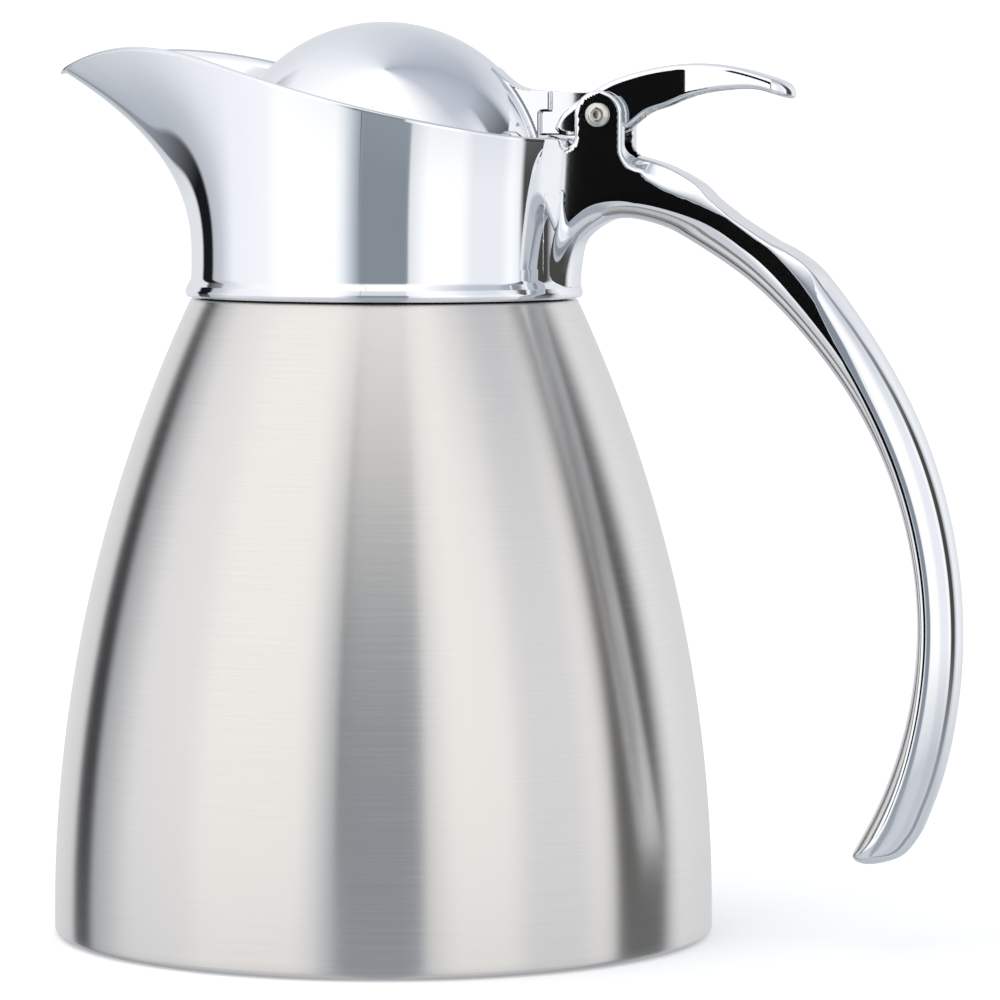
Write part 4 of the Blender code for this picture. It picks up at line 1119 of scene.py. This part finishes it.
def make_card():
    """A black card that darkens the flat sides of the handle and lever, and is seen in nothing else."""
    bm = bmesh.new()
    corners = (
        (CARD_NEAR, CARD_LOW),
        (CARD_FAR, CARD_LOW),
        (CARD_FAR, CARD_HIGH),
        (CARD_NEAR, CARD_HIGH),
    )
    bm.faces.new([bm.verts.new((CARD_X, y, z)) for y, z in corners])
    black, _, shader = finish("black_card", Base_Color=(0.005, 0.005, 0.005, 1.0), Roughness=1.0)
    shader.inputs["Specular IOR Level"].default_value = 0.0
    card = stand("card", bm, black)
    card.visible_camera = False
    card.visible_diffuse = False
    card.visible_shadow = False


def make_camera():
    lens = bpy.data.cameras.new("camera")
    lens.sensor_width = 36.0
    lens.lens = CAMERA_LENS
    lens.clip_start = 0.05
    camera = bpy.data.objects.new("camera", lens)
    camera.location = CAMERA_PLACE
    back = Vector(CAMERA_BACK).normalized()
    up = back.cross(Vector(CAMERA_ACROSS).normalized()).normalized()
    across = up.cross(back)
    camera.rotation_mode = "QUATERNION"
    camera.rotation_quaternion = Matrix((across, up, back)).transposed().to_quaternion()
    bpy.context.scene.collection.objects.link(camera)
    bpy.context.scene.camera = camera


# The studio round the pot: degrees from the front towards the right, and how bright it looks in chrome
STUDIO = (
    (-180, (205, 208, 212)),
    (-124, (220, 222, 226)),
    (-121, (22, 24, 28)),
    (-109, (22, 24, 28)),
    (-107, (180, 184, 190)),
    (-98, (196, 200, 206)),
    (-85, (236, 238, 242)),
    (-60, (242, 244, 247)),
    (-50, (255, 255, 255)),
    (-15, (255, 255, 255)),
    (-10, (235, 238, 241)),
    (-5, (192, 198, 204)),
    (1, (130, 138, 146)),
    (28, (130, 138, 146)),
    (29.5, (222, 225, 228)),
    (40, (255, 255, 255)),
    (60, (255, 255, 255)),
    (68, (232, 234, 238)),
    (88, (232, 234, 238)),
    (95, (250, 251, 252)),
    (102, (236, 238, 240)),
    (105, (72, 72, 68)),
    (128, (66, 66, 62)),
    (134, (205, 208, 212)),
    (140, (237, 239, 242)),
    (180, (205, 208, 212)),
)
OVERHEAD = (
    (-180, (196, 200, 208)),
    (-120, (232, 234, 238)),
    (-60, (255, 255, 255)),
    (45, (255, 255, 255)),
    (80, (192, 197, 206)),
    (130, (168, 174, 185)),
    (180, (196, 200, 208)),
)
BRIGHTEST = 1.2
BLACK, WHITE = (0, 0, 0), (1, 1, 1)


def linear(shade):
    share = shade / 255
    return share / 12.92 if share < 0.04 else ((share + 0.055) / 1.055) ** 2.4


def all_round(tree, turn, shades):
    """The studio's colour at each share of a turn."""
    stops = [(at / 360 + 0.5, [linear(c) for c in colour]) for at, colour in shades]
    return node(tree, "ShaderNodeValToRGB", {"stops": stops}, {"Fac": turn})


def make_studio():
    """White softboxes all round, with a grey gap where the camera stands, and white above."""
    world = bpy.data.worlds.new("studio")
    world.use_nodes = True
    bpy.context.scene.world = world
    tree = world.node_tree
    x, y, z = parts_of(tree, node(tree, "ShaderNodeTexCoord", {}, {}, output="Generated"))
    turn = x.math("ARCTAN2", x, -y) / (2 * math.pi) + 0.5
    above = node(tree, "ShaderNodeValToRGB", {"stops": [(0.35, BLACK), (0.72, WHITE)]}, {"Fac": z})
    below = node(tree, "ShaderNodeValToRGB", {"stops": [(0.1, BLACK), (0.35, (0.7, 0.7, 0.7))]}, {"Fac": -z})
    seen = mixed(tree, above, all_round(tree, turn, STUDIO), all_round(tree, turn, OVERHEAD))
    seen = mixed(tree, below, seen, (0.38, 0.41, 0.45))
    backdrop = node(tree, "ShaderNodeLightPath", {}, {}, output="Is Camera Ray")
    shader = tree.nodes["Background"]
    tree.links.new(mixed(tree, backdrop, seen, WHITE).socket, shader.inputs["Color"])
    shader.inputs["Strength"].default_value = BRIGHTEST
    bpy.context.scene.view_settings.view_transform = "Standard"


make_camera()
make_studio()
make_floor()
make_card()
plated = chrome()
plastic = plain("black_plastic", (0.022, 0.022, 0.024), 0.42, 0.0)
rubber = plain("silicone", (0.42, 0.42, 0.40), 0.55, 0.0)
bare = plain("plain_steel", (0.62, 0.61, 0.59), 0.3, 1.0)
bright = plain("bright_steel", (0.74, 0.70, 0.66), 0.16, 1.0)
make_body(brushed_steel())
make_collar(plated)
make_dome(plated)
make_handle(plated)
make_lever(plated)
make_pin(bright, plastic)
make_screws(bright)
make_flask(bare)
make_base(bare, plastic)
make_lid_inside(plastic, rubber)
make_insert(plastic)
left_as_cad = {
    "lock_ring": plastic,
    "mouth_seal": rubber,
    "shoulder_gasket": rubber,
    "vacuum_plug": bare,
    "getter_disc": bare,
}
for name, material in left_as_cad.items():
    mesh = frame["nodes"][name].data
    mesh.materials.clear()
    mesh.materials.append(material)
